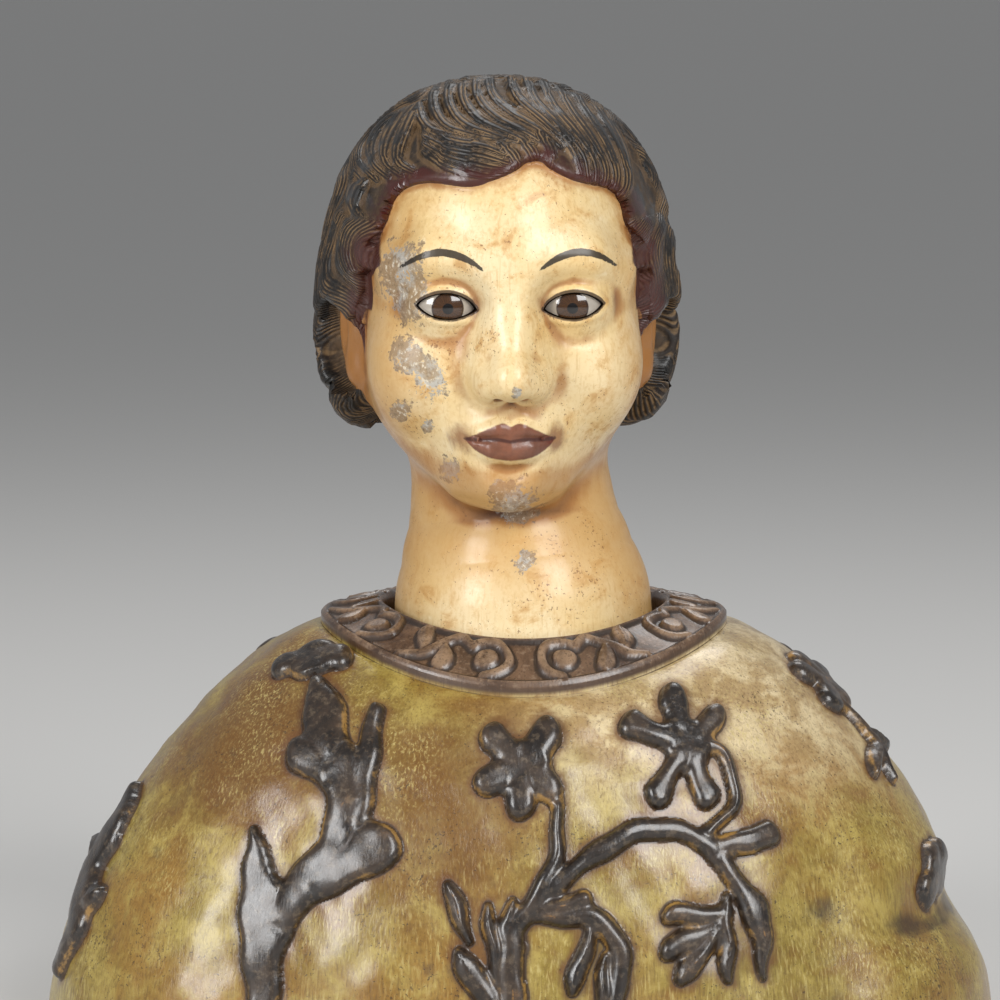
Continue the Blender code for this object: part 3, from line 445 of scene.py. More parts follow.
def outside_face(q):
    """Distance outwards from the hairline, seen from the front."""
    wide, tall = FACE_WINDOW
    height = q[:, 2] - FACE_WINDOW_MIDDLE
    angle = np.degrees(np.arctan2(q[:, 0], height))
    reach = sum(lobe * np.exp(-(((angle - at) / broad) ** 2)) for at, lobe, broad in LOBES)
    window = (np.abs(q[:, 0] / wide) ** 3 + np.abs(height / tall) ** 3) ** (1 / 3)
    return (window - 1) * wide + reach


def mirrored(q):
    """The points with those of the right half moved over to the left half."""
    return np.column_stack((np.abs(q[:, 0]), q[:, 1:]))


def temple_edge(q):
    """Where the hair beside the face begins, front to back, at each point's height."""
    return -13 + 0.75 * np.maximum(-6 - q[:, 2], 0) - 3 * np.maximum(q[:, 2] - 6, 0)


def hair(q, strands=0.0):
    m = mirrored(q)
    form = ellipsoid(m, (0, 11, 11), (42.7, 51.5, 43))
    form = join(form, ellipsoid(m, (0, -3, 16), (37, 40.5, 37.5)), 6)
    form = join(form, ellipsoid(m, (34.5, 14, -9), (11, 21, 25)), 6)
    form = join(form, ellipsoid(m, (0, 36, -14), (30, 18, 24)), 8)
    relief, dome = lock_relief(q, strands)
    front = np.maximum(outside_face(q) + 0.4 * dome, q[:, 1] + 6)
    form = form - relief * (0.1 + 0.9 * ramp(front, 0, 10))
    form = carve(form, front, 2.2)
    opening = np.maximum((q[:, 1] - temple_edge(q)) * 0.8, 30 - m[:, 0])
    form = carve(form, opening, 2.5)
    return carve(form, ellipsoid(m, (43, 4, -14), (13, 10.5, 12.5)), 2.5)


def face_form(m, p):
    """Rough distance to the head and neck without the hair."""
    return join(ears(m, mouth(m, lids(m, nose(m, skull(m))))), neck(p), 7)


def head_form(p, strands=0.0):
    """Rough distance to the carved head with its neck, in the drawing's millimetres."""
    q = p @ HEAD_TURN
    return join(face_form(mirrored(q), p), hair(q, strands), 1.2)


def points_of(mesh, value="co"):
    flat = np.empty(len(mesh.vertices) * 3, np.float32)
    mesh.vertices.foreach_get(value, flat)
    return flat.reshape(-1, 3).astype(float)


def edges_of(mesh):
    flat = np.empty(len(mesh.edges) * 2, np.int32)
    mesh.edges.foreach_get("vertices", flat)
    return flat.reshape(-1, 2)


def mesh_of(bm, name):
    """A mesh made of a finished bmesh."""
    mesh = bpy.data.meshes.new(name)
    bm.to_mesh(mesh)
    bm.free()
    return mesh


def placed(name, data):
    """A new object for a mesh, lamp or camera, in the scene."""
    obj = bpy.data.objects.new(name, data)
    bpy.context.scene.collection.objects.link(obj)
    return obj


def verts_in(made):
    """The new points among what a bmesh operator made."""
    return [item for item in made["geom"] if isinstance(item, bmesh.types.BMVert)]


def set_points(mesh, points):
    mesh.vertices.foreach_set("co", points.astype(np.float32).ravel())
    mesh.update()


def evened(points, edges):
    """Each point moved halfway to the middle of its neighbours."""
    total = np.zeros_like(points)
    count = np.zeros(len(points))
    for near, far in ((0, 1), (1, 0)):
        np.add.at(total, edges[:, near], points[edges[:, far]])
        np.add.at(count, edges[:, near], 1)
    return points + 0.5 * (total / count[:, None] - points)


def drawn_to(points, form, steps):
    """The points moved onto the surface where the form's distance is zero."""
    tick = 0.04
    for _ in range(steps):
        gap = form(points)
        slope = np.stack([(form(points + axis * tick) - gap) / tick for axis in np.eye(3)], axis=1)
        steep = np.maximum((slope * slope).sum(1), 0.25)
        points = points - (np.clip(gap, -3, 3) / steep)[:, None] * slope
    return points


def fitted(mesh, form, rounds, steps):
    """Draws a mesh onto a form, evening its points before each round."""
    points, edges = points_of(mesh), edges_of(mesh)
    for _ in range(rounds):
        points = drawn_to(evened(points, edges), form, steps)
    set_points(mesh, points)


def with_modifier(mesh, kind, **settings):
    """The mesh as a modifier leaves it."""
    obj = placed("blank", mesh)
    modifier = obj.modifiers.new(kind.lower(), kind)
    for name, value in settings.items():
        setattr(modifier, name, value)
    bpy.context.view_layer.update()
    made = bpy.data.meshes.new_from_object(
        obj.evaluated_get(bpy.context.evaluated_depsgraph_get())
    )
    bpy.data.objects.remove(obj)
    return made


def head_blank():
    """Balls and a bar about as big as the head, its hair and its neck, to start the carving from."""
    bm = bmesh.new()
    balls = (
        ((0, 10, 11), (43, 51, 43)),
        ((0, -4, -6), (35, 38, 45)),
        ((0, -30, -40), (12, 12, 12)),
        ((0, -42, -16), (8, 11, 9)),
        ((0, 18, -12), (45, 24, 24)),
    )
    for centre, radii in balls:
        made = bmesh.ops.create_icosphere(bm, subdivisions=4, radius=1)
        bmesh.ops.scale(bm, vec=radii, verts=made["verts"])
        bmesh.ops.translate(bm, vec=centre, verts=made["verts"])
    made = bmesh.ops.create_cone(bm, cap_ends=True, segments=48, radius1=34, radius2=26, depth=90)
    bmesh.ops.translate(bm, vec=(4, 5, -65), verts=made["verts"])
    return mesh_of(bm, "blank")


def cut_flat(mesh, height):
    """Cuts away all below a height and closes the cut with a flat face."""
    bm = bmesh.new()
    bm.from_mesh(mesh)
    geometry = bm.verts[:] + bm.edges[:] + bm.faces[:]
    bmesh.ops.bisect_plane(
        bm, geom=geometry, plane_co=(0, 0, height), plane_no=(0, 0, -1), clear_outer=True
    )
    rim = [edge for edge in bm.edges if edge.is_boundary]
    for vert in {vert for edge in rim for vert in edge.verts}:
        vert.co.z = height
    made = bmesh.ops.contextual_create(bm, geom=rim)
    bmesh.ops.triangulate(bm, faces=made["faces"])
    bmesh.ops.remove_doubles(bm, verts=bm.verts, dist=SEAM)
    bmesh.ops.recalc_face_normals(bm, faces=bm.faces)
    bm.to_mesh(mesh)
    bm.free()


def placed_head(points):
    """Points of the head's drawing in the bust's frame, in metres."""
    return (points * HEAD_SCALE + np.array(HEAD_PLACE)) * MM


def almond(side, gap, front, back):
    """A prism in the eye's outline, at least gap smaller all round, between two depths."""
    bm = bmesh.new()
    shares = np.linspace(-1, 1, EYE_OUTLINE_STEPS)
    upper, lower = eye_opening(shares)
    size = 1 + gap / lower.min()
    ring = list(zip(EYE_HALF * shares, upper)) + list(zip(EYE_HALF * shares, lower))[-2:0:-1]
    verts = [bm.verts.new((x * size, -front, z * size)) for x, z in ring]
    face = bm.faces.new(verts)
    made = bmesh.ops.extrude_face_region(bm, geom=[face])
    bmesh.ops.translate(bm, vec=(0, front - back, 0), verts=verts_in(made))
    bmesh.ops.recalc_face_normals(bm, faces=bm.faces)
    mesh = mesh_of(bm, "almond")
    points = points_of(mesh) + EYE_PLACE
    points[:, 0] *= side
    set_points(mesh, placed_head(points @ HEAD_TURN.T))
    if side < 0:
        mesh.flip_normals()
    return mesh


def leaf(base, tip, half_width):
    """A leaf or petal: widest past its middle, with a rounded tip."""
    base, tip = np.array(base, float), np.array(tip, float)
    shares = ((0, 0.45), (0.35, 0.9), (0.68, 1.0), (0.9, 0.55))
    return [(*(base + (tip - base) * share), half_width * wide) for share, wide in shares]


def lobe(base, tip, half_width, foot=0.55, waist=0.95):
    """A leaf or petal with a round tip. Foot and waist are its shares of width there."""
    base, tip = np.array(base, float), np.array(tip, float)
    end = tip + (base - tip) * half_width / np.linalg.norm(tip - base)
    middle = (base + end) / 2
    return [(*base, half_width * foot), (*middle, half_width * waist), (*end, half_width)]


def flower(centre, tips, half_width, foot=1.15, waist=0.85):
    """Petals from a centre to each tip."""
    return [lobe(centre, tip, half_width, foot, waist) for tip in tips]


# Edges of the painted lips on the front: across and up in the head's drawing
LIP_TOP = ((0, -29.7), (2.4, -28.8), (6.0, -30.4), (9.5, -32.2), (11.4, -33.0))
LIP_MEETING = ((0, -33.5), (3.4, -33.0), (7.2, -33.2), (11.4, -33.0))
LIP_FOOT = ((0, -38.3), (4.0, -37.9), (7.6, -36.6), (10.0, -34.8), (11.4, -33.2))


def level_of(line, across):
    curve = smooth_line([(x, z, 0) for x, z in line])
    return np.interp(across, curve[:, 0], curve[:, 1])


def lips_edge(m):
    """Distance up or down to the painted lips' edge on the front, below zero on the lips."""
    edge = np.maximum(m[:, 2] - level_of(LIP_TOP, m[:, 0]), level_of(LIP_FOOT, m[:, 0]) - m[:, 2])
    return np.maximum(edge, m[:, 0] - 11.2)


def lid_edge(m):
    """Distance to the painted line round the eye's opening, below zero on the line."""
    share = (m[:, 0] - EYE_PLACE[0]) / EYE_HALF
    upper, lower = eye_opening(np.clip(share, -1, 1))
    beyond = np.maximum(np.abs(share) - 1, 0) * EYE_HALF
    above = np.hypot(np.abs(m[:, 2] - upper - 0.35), beyond) - 0.42
    below = np.hypot(np.abs(m[:, 2] - lower + 0.15), beyond) - 0.22
    return np.minimum(above, below)


# Painted brow on the front: across, up and half width in the head's drawing
BROW = (
    (7.2, 10.0, 0.35), (11.5, 12.7, 0.85), (17, 14.2, 0.95), (22.5, 13.1, 0.75), (27.5, 9.9, 0.25)
)

# Chipped and rubbed spots of the paint: place in the head's drawing and size
CHIPS = (
    (-27.0, 10.5, 7.2),
    (-25.5, 3.5, 8.6),
    (-25.5, -13.0, 6.0),
    (-20.0, -18.0, 7.4),
    (1.5, -50.5, 8.5),
    (-3.0, -45.0, 3.0),
    (-14.5, -42.0, 4.2),
    (4.5, -66.0, 4.2),
    (-27.5, -27.0, 3.6),
    (1.0, -20.0, 2.2),
    (-20.5, -30.5, 2.4),
)


def attribute(mesh, name, values):
    made = mesh.attributes.new(name, "FLOAT", "POINT")
    made.data.foreach_set("value", np.asarray(values, np.float32))


def hollows(mesh, rounds):
    """How far each point lies below the evened surface round it, in the mesh's own unit."""
    points, edges = points_of(mesh), edges_of(mesh)
    soft = points
    for _ in range(rounds):
        soft = evened(soft, edges)
    return ((soft - points) * points_of(mesh, "normal")).sum(1)


def cut_finer(bm, chosen):
    """Cuts each edge of the faces round the chosen points in two."""
    bm.verts.index_update()
    marked = [face for face in bm.faces if any(chosen[vert.index] for vert in face.verts)]
    edges = list({edge for face in marked for edge in face.edges})
    bmesh.ops.subdivide_edges(bm, edges=edges, cuts=1, use_grid_fill=True)


def trimmed(mesh, tool, operation="DIFFERENCE"):
    """The mesh cut by another closed shape."""
    blade = placed("blade", tool)
    made = with_modifier(mesh, "BOOLEAN", object=blade, operation=operation, solver="EXACT")
    bpy.data.objects.remove(blade)
    return made


def finished(name, mesh, material):
    """Puts a finished piece in the scene in place of the solid of the same name."""
    mesh.materials.clear()
    mesh.materials.append(material)
    mesh.polygons.foreach_set("use_smooth", [True] * len(mesh.polygons))
    mesh.set_sharp_from_angle(angle=math.radians(CRISP))
    piece = placed("fine_" + name, mesh)
    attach(piece, "root")
    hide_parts(name)
    return piece


def carve_head(material):
    def fine(p):
        return head_form(p, STRAND_DEPTH)

    mesh = with_modifier(head_blank(), "REMESH", mode="VOXEL", voxel_size=HEAD_BLANK_CELL)
    fitted(mesh, head_form, 5, 2)
    mesh = with_modifier(mesh, "REMESH", mode="VOXEL", voxel_size=HEAD_FINE_CELL)
    fitted(mesh, fine, HEAD_TOUCHES, 1)
    q = points_of(mesh) @ HEAD_TURN
    m = mirrored(q)
    by_eye = (np.abs(m[:, 0] - EYE_PLACE[0]) < 10.5) & (np.abs(m[:, 2]) < 7.5)
    by_lips = lips_edge(m) < 1.2
    by_nose = (m[:, 0] < 11.5) & (np.abs(m[:, 2] + 20) < 6)
    by_hair = np.abs(face_form(m, q @ HEAD_TURN.T) - hair(q)) < 0.6
    bm = bmesh.new()
    bm.from_mesh(mesh)
    cut_finer(bm, ((by_eye | by_lips | by_nose) & (m[:, 1] < -24)) | by_hair)
    bmesh.ops.triangulate(bm, faces=bm.faces)
    mesh = mesh_of(bm, "finer")
    fitted(mesh, fine, 1, 2)
    cut_flat(mesh, NECK_DRAWN_BOTTOM)
    for side in (-1, 1):
        blade = almond(side, 0, EYE_BALL + 6, EYE_BALL - EYE_THICKNESS / HEAD_SCALE)
        set_points(blade, unplaced_head(points_of(blade)))
        mesh = trimmed(mesh, blade)
    mark_head(mesh)
    set_points(mesh, placed_head(points_of(mesh)))
    return finished("head", mesh, material)


def unplaced_head(points):
    """Points of the bust's frame, in metres, back in the head's drawing."""
    return (points / MM - np.array(HEAD_PLACE)) / HEAD_SCALE


def mark_head(mesh):
    """Marks for the paint: hair, strands, lips, brows, lid lines, chips and hollows."""
    p = points_of(mesh)
    q = p @ HEAD_TURN
    m = mirrored(q)
    verge = 0.5 * np.minimum.reduce((q[:, 1] - temple_edge(q) + 2.5, m[:, 0] - 32, q[:, 2] + 3))
    hairy = np.maximum(face_form(m, p) - hair(q), np.minimum(verge, 1.5))
    attribute(mesh, "hair", np.clip(hairy, -3, 8))
    attribute(mesh, "rim", np.clip(outside_face(q), -6, 20) + 20 * ramp(q[:, 1], -4, 6))
    fall, place = lock_place(q)
    across = lock_sweep(q[:, [0, 2]])[1]
    attribute(mesh, "strand", strand_place(fall, place, across, swept_zone(q)))
    attribute(mesh, "lips", np.clip(lips_edge(m), -3, 3) + 6 * (q[:, 1] > -30))
    meeting = np.abs(m[:, 2] - level_of(LIP_MEETING, m[:, 0])) + 6 * (q[:, 1] > -30)
    attribute(mesh, "lips_meet", np.minimum(meeting + np.maximum(m[:, 0] - 11.4, 0), 6))
    line = smooth_line(BROW)
    brow = chain(m[:, [0, 2]], line[:, :2], line[:, 2])
    attribute(mesh, "brow", np.clip(brow, -2, 4) + 4 * (q[:, 1] > -18))
    attribute(mesh, "lash", np.clip(lid_edge(m), -2, 4) + 6 * (q[:, 1] > -27))
    corners = ((8.6, -36.6, 0.0), (24.5, -30.0, 0.4), (11.6, -37.5, -33.0))
    corner = np.minimum.reduce([np.linalg.norm(m - spot, axis=1) for spot in corners])
    attribute(mesh, "corner", corner)
    ear = np.linalg.norm((m - (37, 5, -11)) / (7, 12, 17), axis=1)
    attribute(mesh, "ear", np.minimum(ear, 3))
    chip = np.full(len(q), 2.0)
    front = q[:, 1] < -5
    for x, z, size in CHIPS:
        reach = np.hypot(q[:, 0] - x, (q[:, 2] - z) * 0.85) / size
        chip = np.where(front, np.minimum(chip, reach), chip)
    attribute(mesh, "chip", chip)
    attribute(mesh, "hollow", hollows(mesh, 6))
    attribute(mesh, "recess", hollows(mesh, 60))


# Robe: the share out from the collar is (1 - height^power)^bend, with each side's power and bend
SIDE_SLOPE = (1.6, 0.70)
FRONT_SLOPE = (1.8, 0.70)
BACK_SLOPE = (2.6, 0.70)
BOXY = 0.30
# Folds: place, breadth and depth in millimetres
ARM_VALLEY = ((78.0, 12.0, 4.0), (-64.0, 12.0, 3.5))
SLEEVE_CREASE = (32.0, 10.0, 5.2)
CHEST_RIDGE = (-33.0, 15.0, 1.8)


def out_share(height_share, slope):
    power, bend = slope
    return np.maximum(1 - height_share**power, 0) ** bend


def round_value(around, side, front, back):
    """A size that runs smoothly from side to front and back as the angle from the front turns."""
    cosine = np.cos(around)
    return side + np.where(cosine > 0, front - side, back - side) * cosine**2


def robe_base(around, rise):
    """The robe's plain surface: angle from the front, and rise from 0 below to 1 at the collar."""
    height = np.sin(rise * math.pi / 2)
    sine, cosine = np.sin(around), np.cos(around)
    boxy = 1 - BOXY * (1 - rise) ** 0.5 * 0.5
    wide = np.sign(sine) * np.abs(sine) ** boxy
    deep = np.sign(cosine) * np.abs(cosine) ** boxy
    x_half = COLLAR_HALF_WIDTH + (ROBE_WIDTH / 2 - COLLAR_HALF_WIDTH) * out_share(height, SIDE_SLOPE)
    front = ROBE_FRONT + SOCKET_Y - COLLAR_HALF_DEPTH
    front = COLLAR_HALF_DEPTH + front * out_share(height, FRONT_SLOPE)
    back = ROBE_BACK - SOCKET_Y - COLLAR_HALF_DEPTH
    back = COLLAR_HALF_DEPTH + back * out_share(height, BACK_SLOPE)
    x = SOCKET_X * height + x_half * wide
    y = SOCKET_Y - np.where(cosine > 0, front, back) * deep
    level = round_value(around, ROBE_HEIGHT_SIDE, ROBE_HEIGHT_FRONT, ROBE_HEIGHT_BACK)
    return np.column_stack((x, y, level * height))


def folds(points, around):
    """Depth of the broad folds: arms against the chest, a sleeve crease and a soft chest ridge."""
    x, z = points[:, 0], points[:, 2]
    facing = ramp(np.cos(around), 0.05, 0.5)
    behind = ramp(-np.cos(around), 0.05, 0.5)
    low = 1 - ramp(z, 30, 78)
    depth = np.zeros(len(points))
    for at, broad, deep in ARM_VALLEY:
        depth -= deep * np.exp(-(((x - at) / broad) ** 2)) * low * (facing + 0.7 * behind)
    at, broad, deep = SLEEVE_CREASE
    depth -= deep * np.exp(-(((z - at) / broad) ** 2)) * ramp(np.sin(around), 0.6, 0.95)
    at, broad, deep = CHEST_RIDGE
    return depth + deep * np.exp(-(((x - at) / broad) ** 2)) * facing * low


# Foliage of the breast, in millimetres right of the middle and above the base, seen from the front
LEFT_FLOWER = flower(
    (0.8, 74.2),
    [(-9.4, 82.8), (9.2, 85.0), (-11.4, 69.2), (-0.8, 61.8), (10.0, 66.8)],
    3.9,
    foot=1.35,
    waist=1.0,
)
RIGHT_FLOWER = flower(
    (41.9, 78.6),
    [(36.8, 92.0), (51, 86), (47.6, 63.6), (32.4, 64.6), (25.0, 84.4)],
    3.5,
    foot=1.2,
    waist=0.8,
)
MIDDLE_SPRAY = [
    [(-4, 3, 3.8), (-2.4, 17, 3.6), (-2.2, 34, 3.0), (2, 40, 2.7), (7.5, 49, 2.2), (9.3, 58, 1.8),
     (8.8, 65, 1.7)],
    [(8.5, 46, 2.3), (17, 52.5, 2.6), (27, 58, 2.8), (34, 59.3, 2.7), (42.5, 57.4, 2.6),
     (49, 52.6, 2.2)],
    [(49, 52.6, 2.0), (55, 44, 2.8), (59.3, 36, 3.3), (60.6, 22, 0.8)],
    [(46.7, 58, 1.8), (52.8, 63, 1.7), (53, 70, 1.7), (50.4, 75.6, 1.7), (46, 79, 1.8)],
    [(5.5, 38.5, 1.9), (18.4, 38, 2.7), (23.2, 33, 2.9), (25, 25.8, 2.7), (22.6, 16.7, 2.2),
     (20, 8, 0.9)],
    lobe((49, 54), (65, 57), 3.2),
    leaf((50.8, 42), (51.6, 20), 2.3),
    lobe((51, 38), (35.0, 38.8), 2.7),
    lobe((49, 35.5), (34.3, 29.0), 3.0),
    leaf((49, 35), (38.6, 21.0), 2.8),
    leaf((-13, 33), (-18.4, 47), 2.5),
    leaf((-5.5, 22), (-8.9, 43), 1.9),
    leaf((-3.5, 33), (-2.2, 43.5), 1.8),
    leaf((-5, 14), (-16.5, 31), 3.4),
    lobe((4, 40), (17.4, 43), 2.2),
    leaf((17.7, 35), (12, 19), 2.7),
    leaf((20.7, 29), (19.5, 15), 1.8),
] + LEFT_FLOWER + RIGHT_FLOWER
SIDE_SPRAY = [
    [(-63, 3, 3.4), (-64.2, 16, 4.0), (-64.6, 27, 5.4), (-64.2, 37, 6.5), (-65.5, 46, 4.6),
     (-66.8, 57, 1.2)],
    [(-61, 36, 4.8), (-52.3, 47, 4.5), (-45.6, 55, 4.7), (-44, 65, 4.9), (-45.5, 74, 5.2)],
    leaf((-46.5, 71), (-51, 92), 5.6),
    lobe((-46, 71), (-59, 77.5), 4.3, 0.9),
    [(-41, 60, 3.2), (-38.6, 74, 3.1), (-36.4, 86.5, 2.0)],
    lobe((-52, 46), (-30.6, 58), 6.0, 0.8),
    leaf((-59, -3), (-55.6, 8), 2.4),
]
# Sprays for the arms and the back, drawn on a flat patch round their own middle
BLOSSOM = flower((0, 6), [(-9, 13), (0, 19), (9, 13), (7, -2), (-7, -2)], 4.0) + [
    [(0, 0, 1.8), (2, -12, 2.0), (-1, -24, 1.4)],
    leaf((1, -10), (12, -15), 2.6),
    leaf((1, -14), (-10, -22), 2.6),
]
TREFOIL = flower((0, 0), [(-12, -2), (-1, 8), (11, 2)], 4.5, 1.3)
BROAD_LEAF = [
    [(-3, -24, 3.6), (3, -12, 6.0), (-2, 2, 6.6), (3, 14, 5.6), (0, 25, 2.4)],
    leaf((0, 2), (-12, 11), 3.6),
    leaf((1, -12), (12, -3), 3.6),
]
LONG_LEAF = [
    [(-3, -24, 2.0), (2, -12, 3.2), (-1, 2, 3.0), (3, 14, 2.4), (2, 24, 1.0)],
    leaf((0, 2), (-10, 12), 2.6),
    leaf((1, -12), (10, -4), 2.4),
]
# Each patch: strokes, degrees from the front, height on the robe from 0 to 1, and turn in degrees
PATCHES = (
    (TREFOIL, -59, 0.83, 10),
    (BROAD_LEAF, -78, 0.25, 8),
    (BLOSSOM, 80, 0.60, -8),
    (TREFOIL, 74, 0.27, 20),
    (BLOSSOM, 180, 0.52, 0),
    (LONG_LEAF, 148, 0.34, 14),
    (LONG_LEAF, -148, 0.34, -14),
    (TREFOIL, 122, 0.66, -30),
    (TREFOIL, -122, 0.66, 30),
)


def foliage_rise(edge_distance):
    """Height of the raised foliage: round shoulders under a gently domed top."""
    inside = np.clip(-edge_distance / FOLIAGE_SHOULDER, 0, 1)
    dome = np.sqrt(1 - (1 - inside) ** 2)
    return FOLIAGE_RISE * (0.88 * dome + 0.12 * np.clip(-edge_distance / 5, 0, 1))


def stroke_forms(spots, strokes, soft):
    """For each spot: distance to the strokes' edge run together, to the nearest stroke's edge, to
    the next one's, to the nearest one's middle line, its half width there, and 1 for a leaf."""
    spots = spots + 0.35 * np.sin(0.55 * spots[:, ::-1] + (0.4, 1.9))
    forms = np.tile(FAR, (len(spots), 1))
    for stroke in strokes:
        line = smooth_line(stroke)
        inside = beside(spots, line, 8)
        if not len(inside):
            continue
        edge = np.full(len(inside), 99.0)
        middle = np.full(len(inside), 9.0)
        width = np.ones(len(inside))
        for _, _, reach, wide in line_parts(spots[inside], line):
            nearer = reach - wide < edge
            edge = np.where(nearer, reach - wide, edge)
            middle = np.where(nearer, reach, middle)
            width = np.where(nearer, wide, width)
        is_leaf = float(len(stroke) == 4 and stroke[2][2] > 2 * stroke[0][2])
        old = forms[inside]
        together = join(old[:, 0], edge, soft)
        closer = edge < old[:, 1]
        second = np.where(closer, old[:, 1], np.minimum(old[:, 2], edge))
        new = np.column_stack((together, edge, second, middle, width, np.full(len(edge), is_leaf)))
        kept = np.column_stack((together, old[:, 1], second, old[:, 3:]))
        forms[inside] = np.where(closer[:, None], new, kept)
    return forms


def foliage_forms(points, normals):
    """The stroke forms of the raised foliage, over the whole robe."""
    forms = np.tile(FAR, (len(points), 1))
    front = np.flatnonzero(normals[:, 1] < -0.12)
    spots = points[front][:, [0, 2]]
    forms[front] = stroke_forms(spots, MIDDLE_SPRAY + SIDE_SPRAY, FOLIAGE_SOFT)
    for strokes, angle, rise, turn in PATCHES:
        around = math.radians(angle)
        place = robe_base(np.array([around]), np.array([rise]))[0]
        nearby = np.flatnonzero(np.linalg.norm(points - place, axis=1) < 40)
        out = normals[nearby[np.argmin(np.linalg.norm(points[nearby] - place, axis=1))]]
        across = np.cross((0, 0, 1.0), out)
        across /= np.linalg.norm(across)
        up = np.cross(out, across)
        lean = math.radians(turn)
        offset = points[nearby] - place
        flat = np.column_stack((offset @ across, offset @ up))
        swing = np.array(((math.cos(lean), -math.sin(lean)), (math.sin(lean), math.cos(lean))))
        drawn = stroke_forms(flat @ swing, strokes, FOLIAGE_SOFT)
        closer = drawn[:, 0] < forms[nearby, 0]
        forms[nearby[closer]] = drawn[closer]
    return forms


def foliage_height(forms):
    """Height of the foliage, with soft valleys where forms meet and faintly ridged leaves."""
    edge, nearest, second, middle, width, is_leaf = forms.T
    inside = ramp(-edge, 0, 0.9)
    meeting = np.exp(-(((second - nearest) / 1.1) ** 2)) * ramp(-second, 0, 1.6)
    vein = np.exp(-((middle / 0.7) ** 2)) * ramp(width, 1.2, 2.2)
    vein = vein * np.where(is_leaf > 0.5, 0.3, -0.12)
    return foliage_rise(edge) - 0.38 * meeting + vein * inside


def tool_marks(points):
    """Slight unevenness left by the carver's tools, in millimetres."""
    x, y, z = points.T
    marks = np.sin(0.23 * x + 0.11 * z + 1.3 * np.sin(0.09 * z)) * np.sin(0.19 * z - 0.08 * x + 0.16 * y)
    return 0.30 * marks + 0.13 * np.sin(0.51 * x - 0.3 * y + 1) * np.sin(0.47 * z + 0.2 * x)


def robe_frame(around, rise):
    """The robe with its folds but no foliage, and the way out from it."""
    plain = robe_base(around, rise)
    tick = 1e-3
    ahead = robe_base(around + tick, rise) - robe_base(around - tick, rise)
    above = robe_base(around, np.minimum(rise + tick, 1)) - robe_base(around, np.maximum(rise - tick, 0))
    normals = np.cross(ahead, above)
    normals /= np.linalg.norm(normals, axis=1)[:, None] + 1e-12
    level = normals.copy()
    level[:, 2] = 0
    return plain + level * folds(plain, around)[:, None], normals


# Collar scrolls on the flat: millimetres along from the front's middle and across from the outer edge
SCROLL_PITCH = 31.0
BAND_DRAWN = 16.0


def scroll_unit(middle, mirror):
    """A volute inside a curl, the curl's winding stem, and two leaves beside the stem."""

    def at(along, across, half_width):
        return (middle + mirror * along, BAND_DRAWN / 2 + across, half_width)

    angles = np.radians(np.linspace(-100, -320, 9))
    curl = [at(5.9 * math.cos(angle) - 7.5, 5.6 * math.sin(angle), 1.35) for angle in angles]
    return [
        [at(-7.6, 0, 3.1), at(-7.3, 0, 3.1)],
        curl,
        [curl[-1], at(1.5, 5.4, 1.4), at(6, 2, 1.5), at(8.8, -3, 1.4), at(13, -5.6, 1.1)],
        leaf(at(4.4, 1.6, 1)[:2], at(1.4, -6.4, 1)[:2], 2.4),
        leaf(at(9.6, -1, 1)[:2], at(13.4, 6.2, 1)[:2], 2.6),
    ]


def collar_strokes():
    """The scrolls round the band, mirrored about the front's middle."""
    half_round = math.pi * (SOCKET_HALF_WIDTH + COLLAR_BAND_SIDE / 2)
    count = int(half_round / SCROLL_PITCH)
    strokes = []
    for i in range(count):
        middle = (i + 0.5) * half_round / count
        strokes += scroll_unit(middle, 1) + scroll_unit(-middle, -1)
    return strokes


# Shares of the collar's lines: its foot on the robe, and the socket's rim
COLLAR_FOOT_SHARE = 0.12
COLLAR_TOP_SHARE = 0.86
# The robe is drawn this far below its cut before it is cut flat
UNDER = 3.0


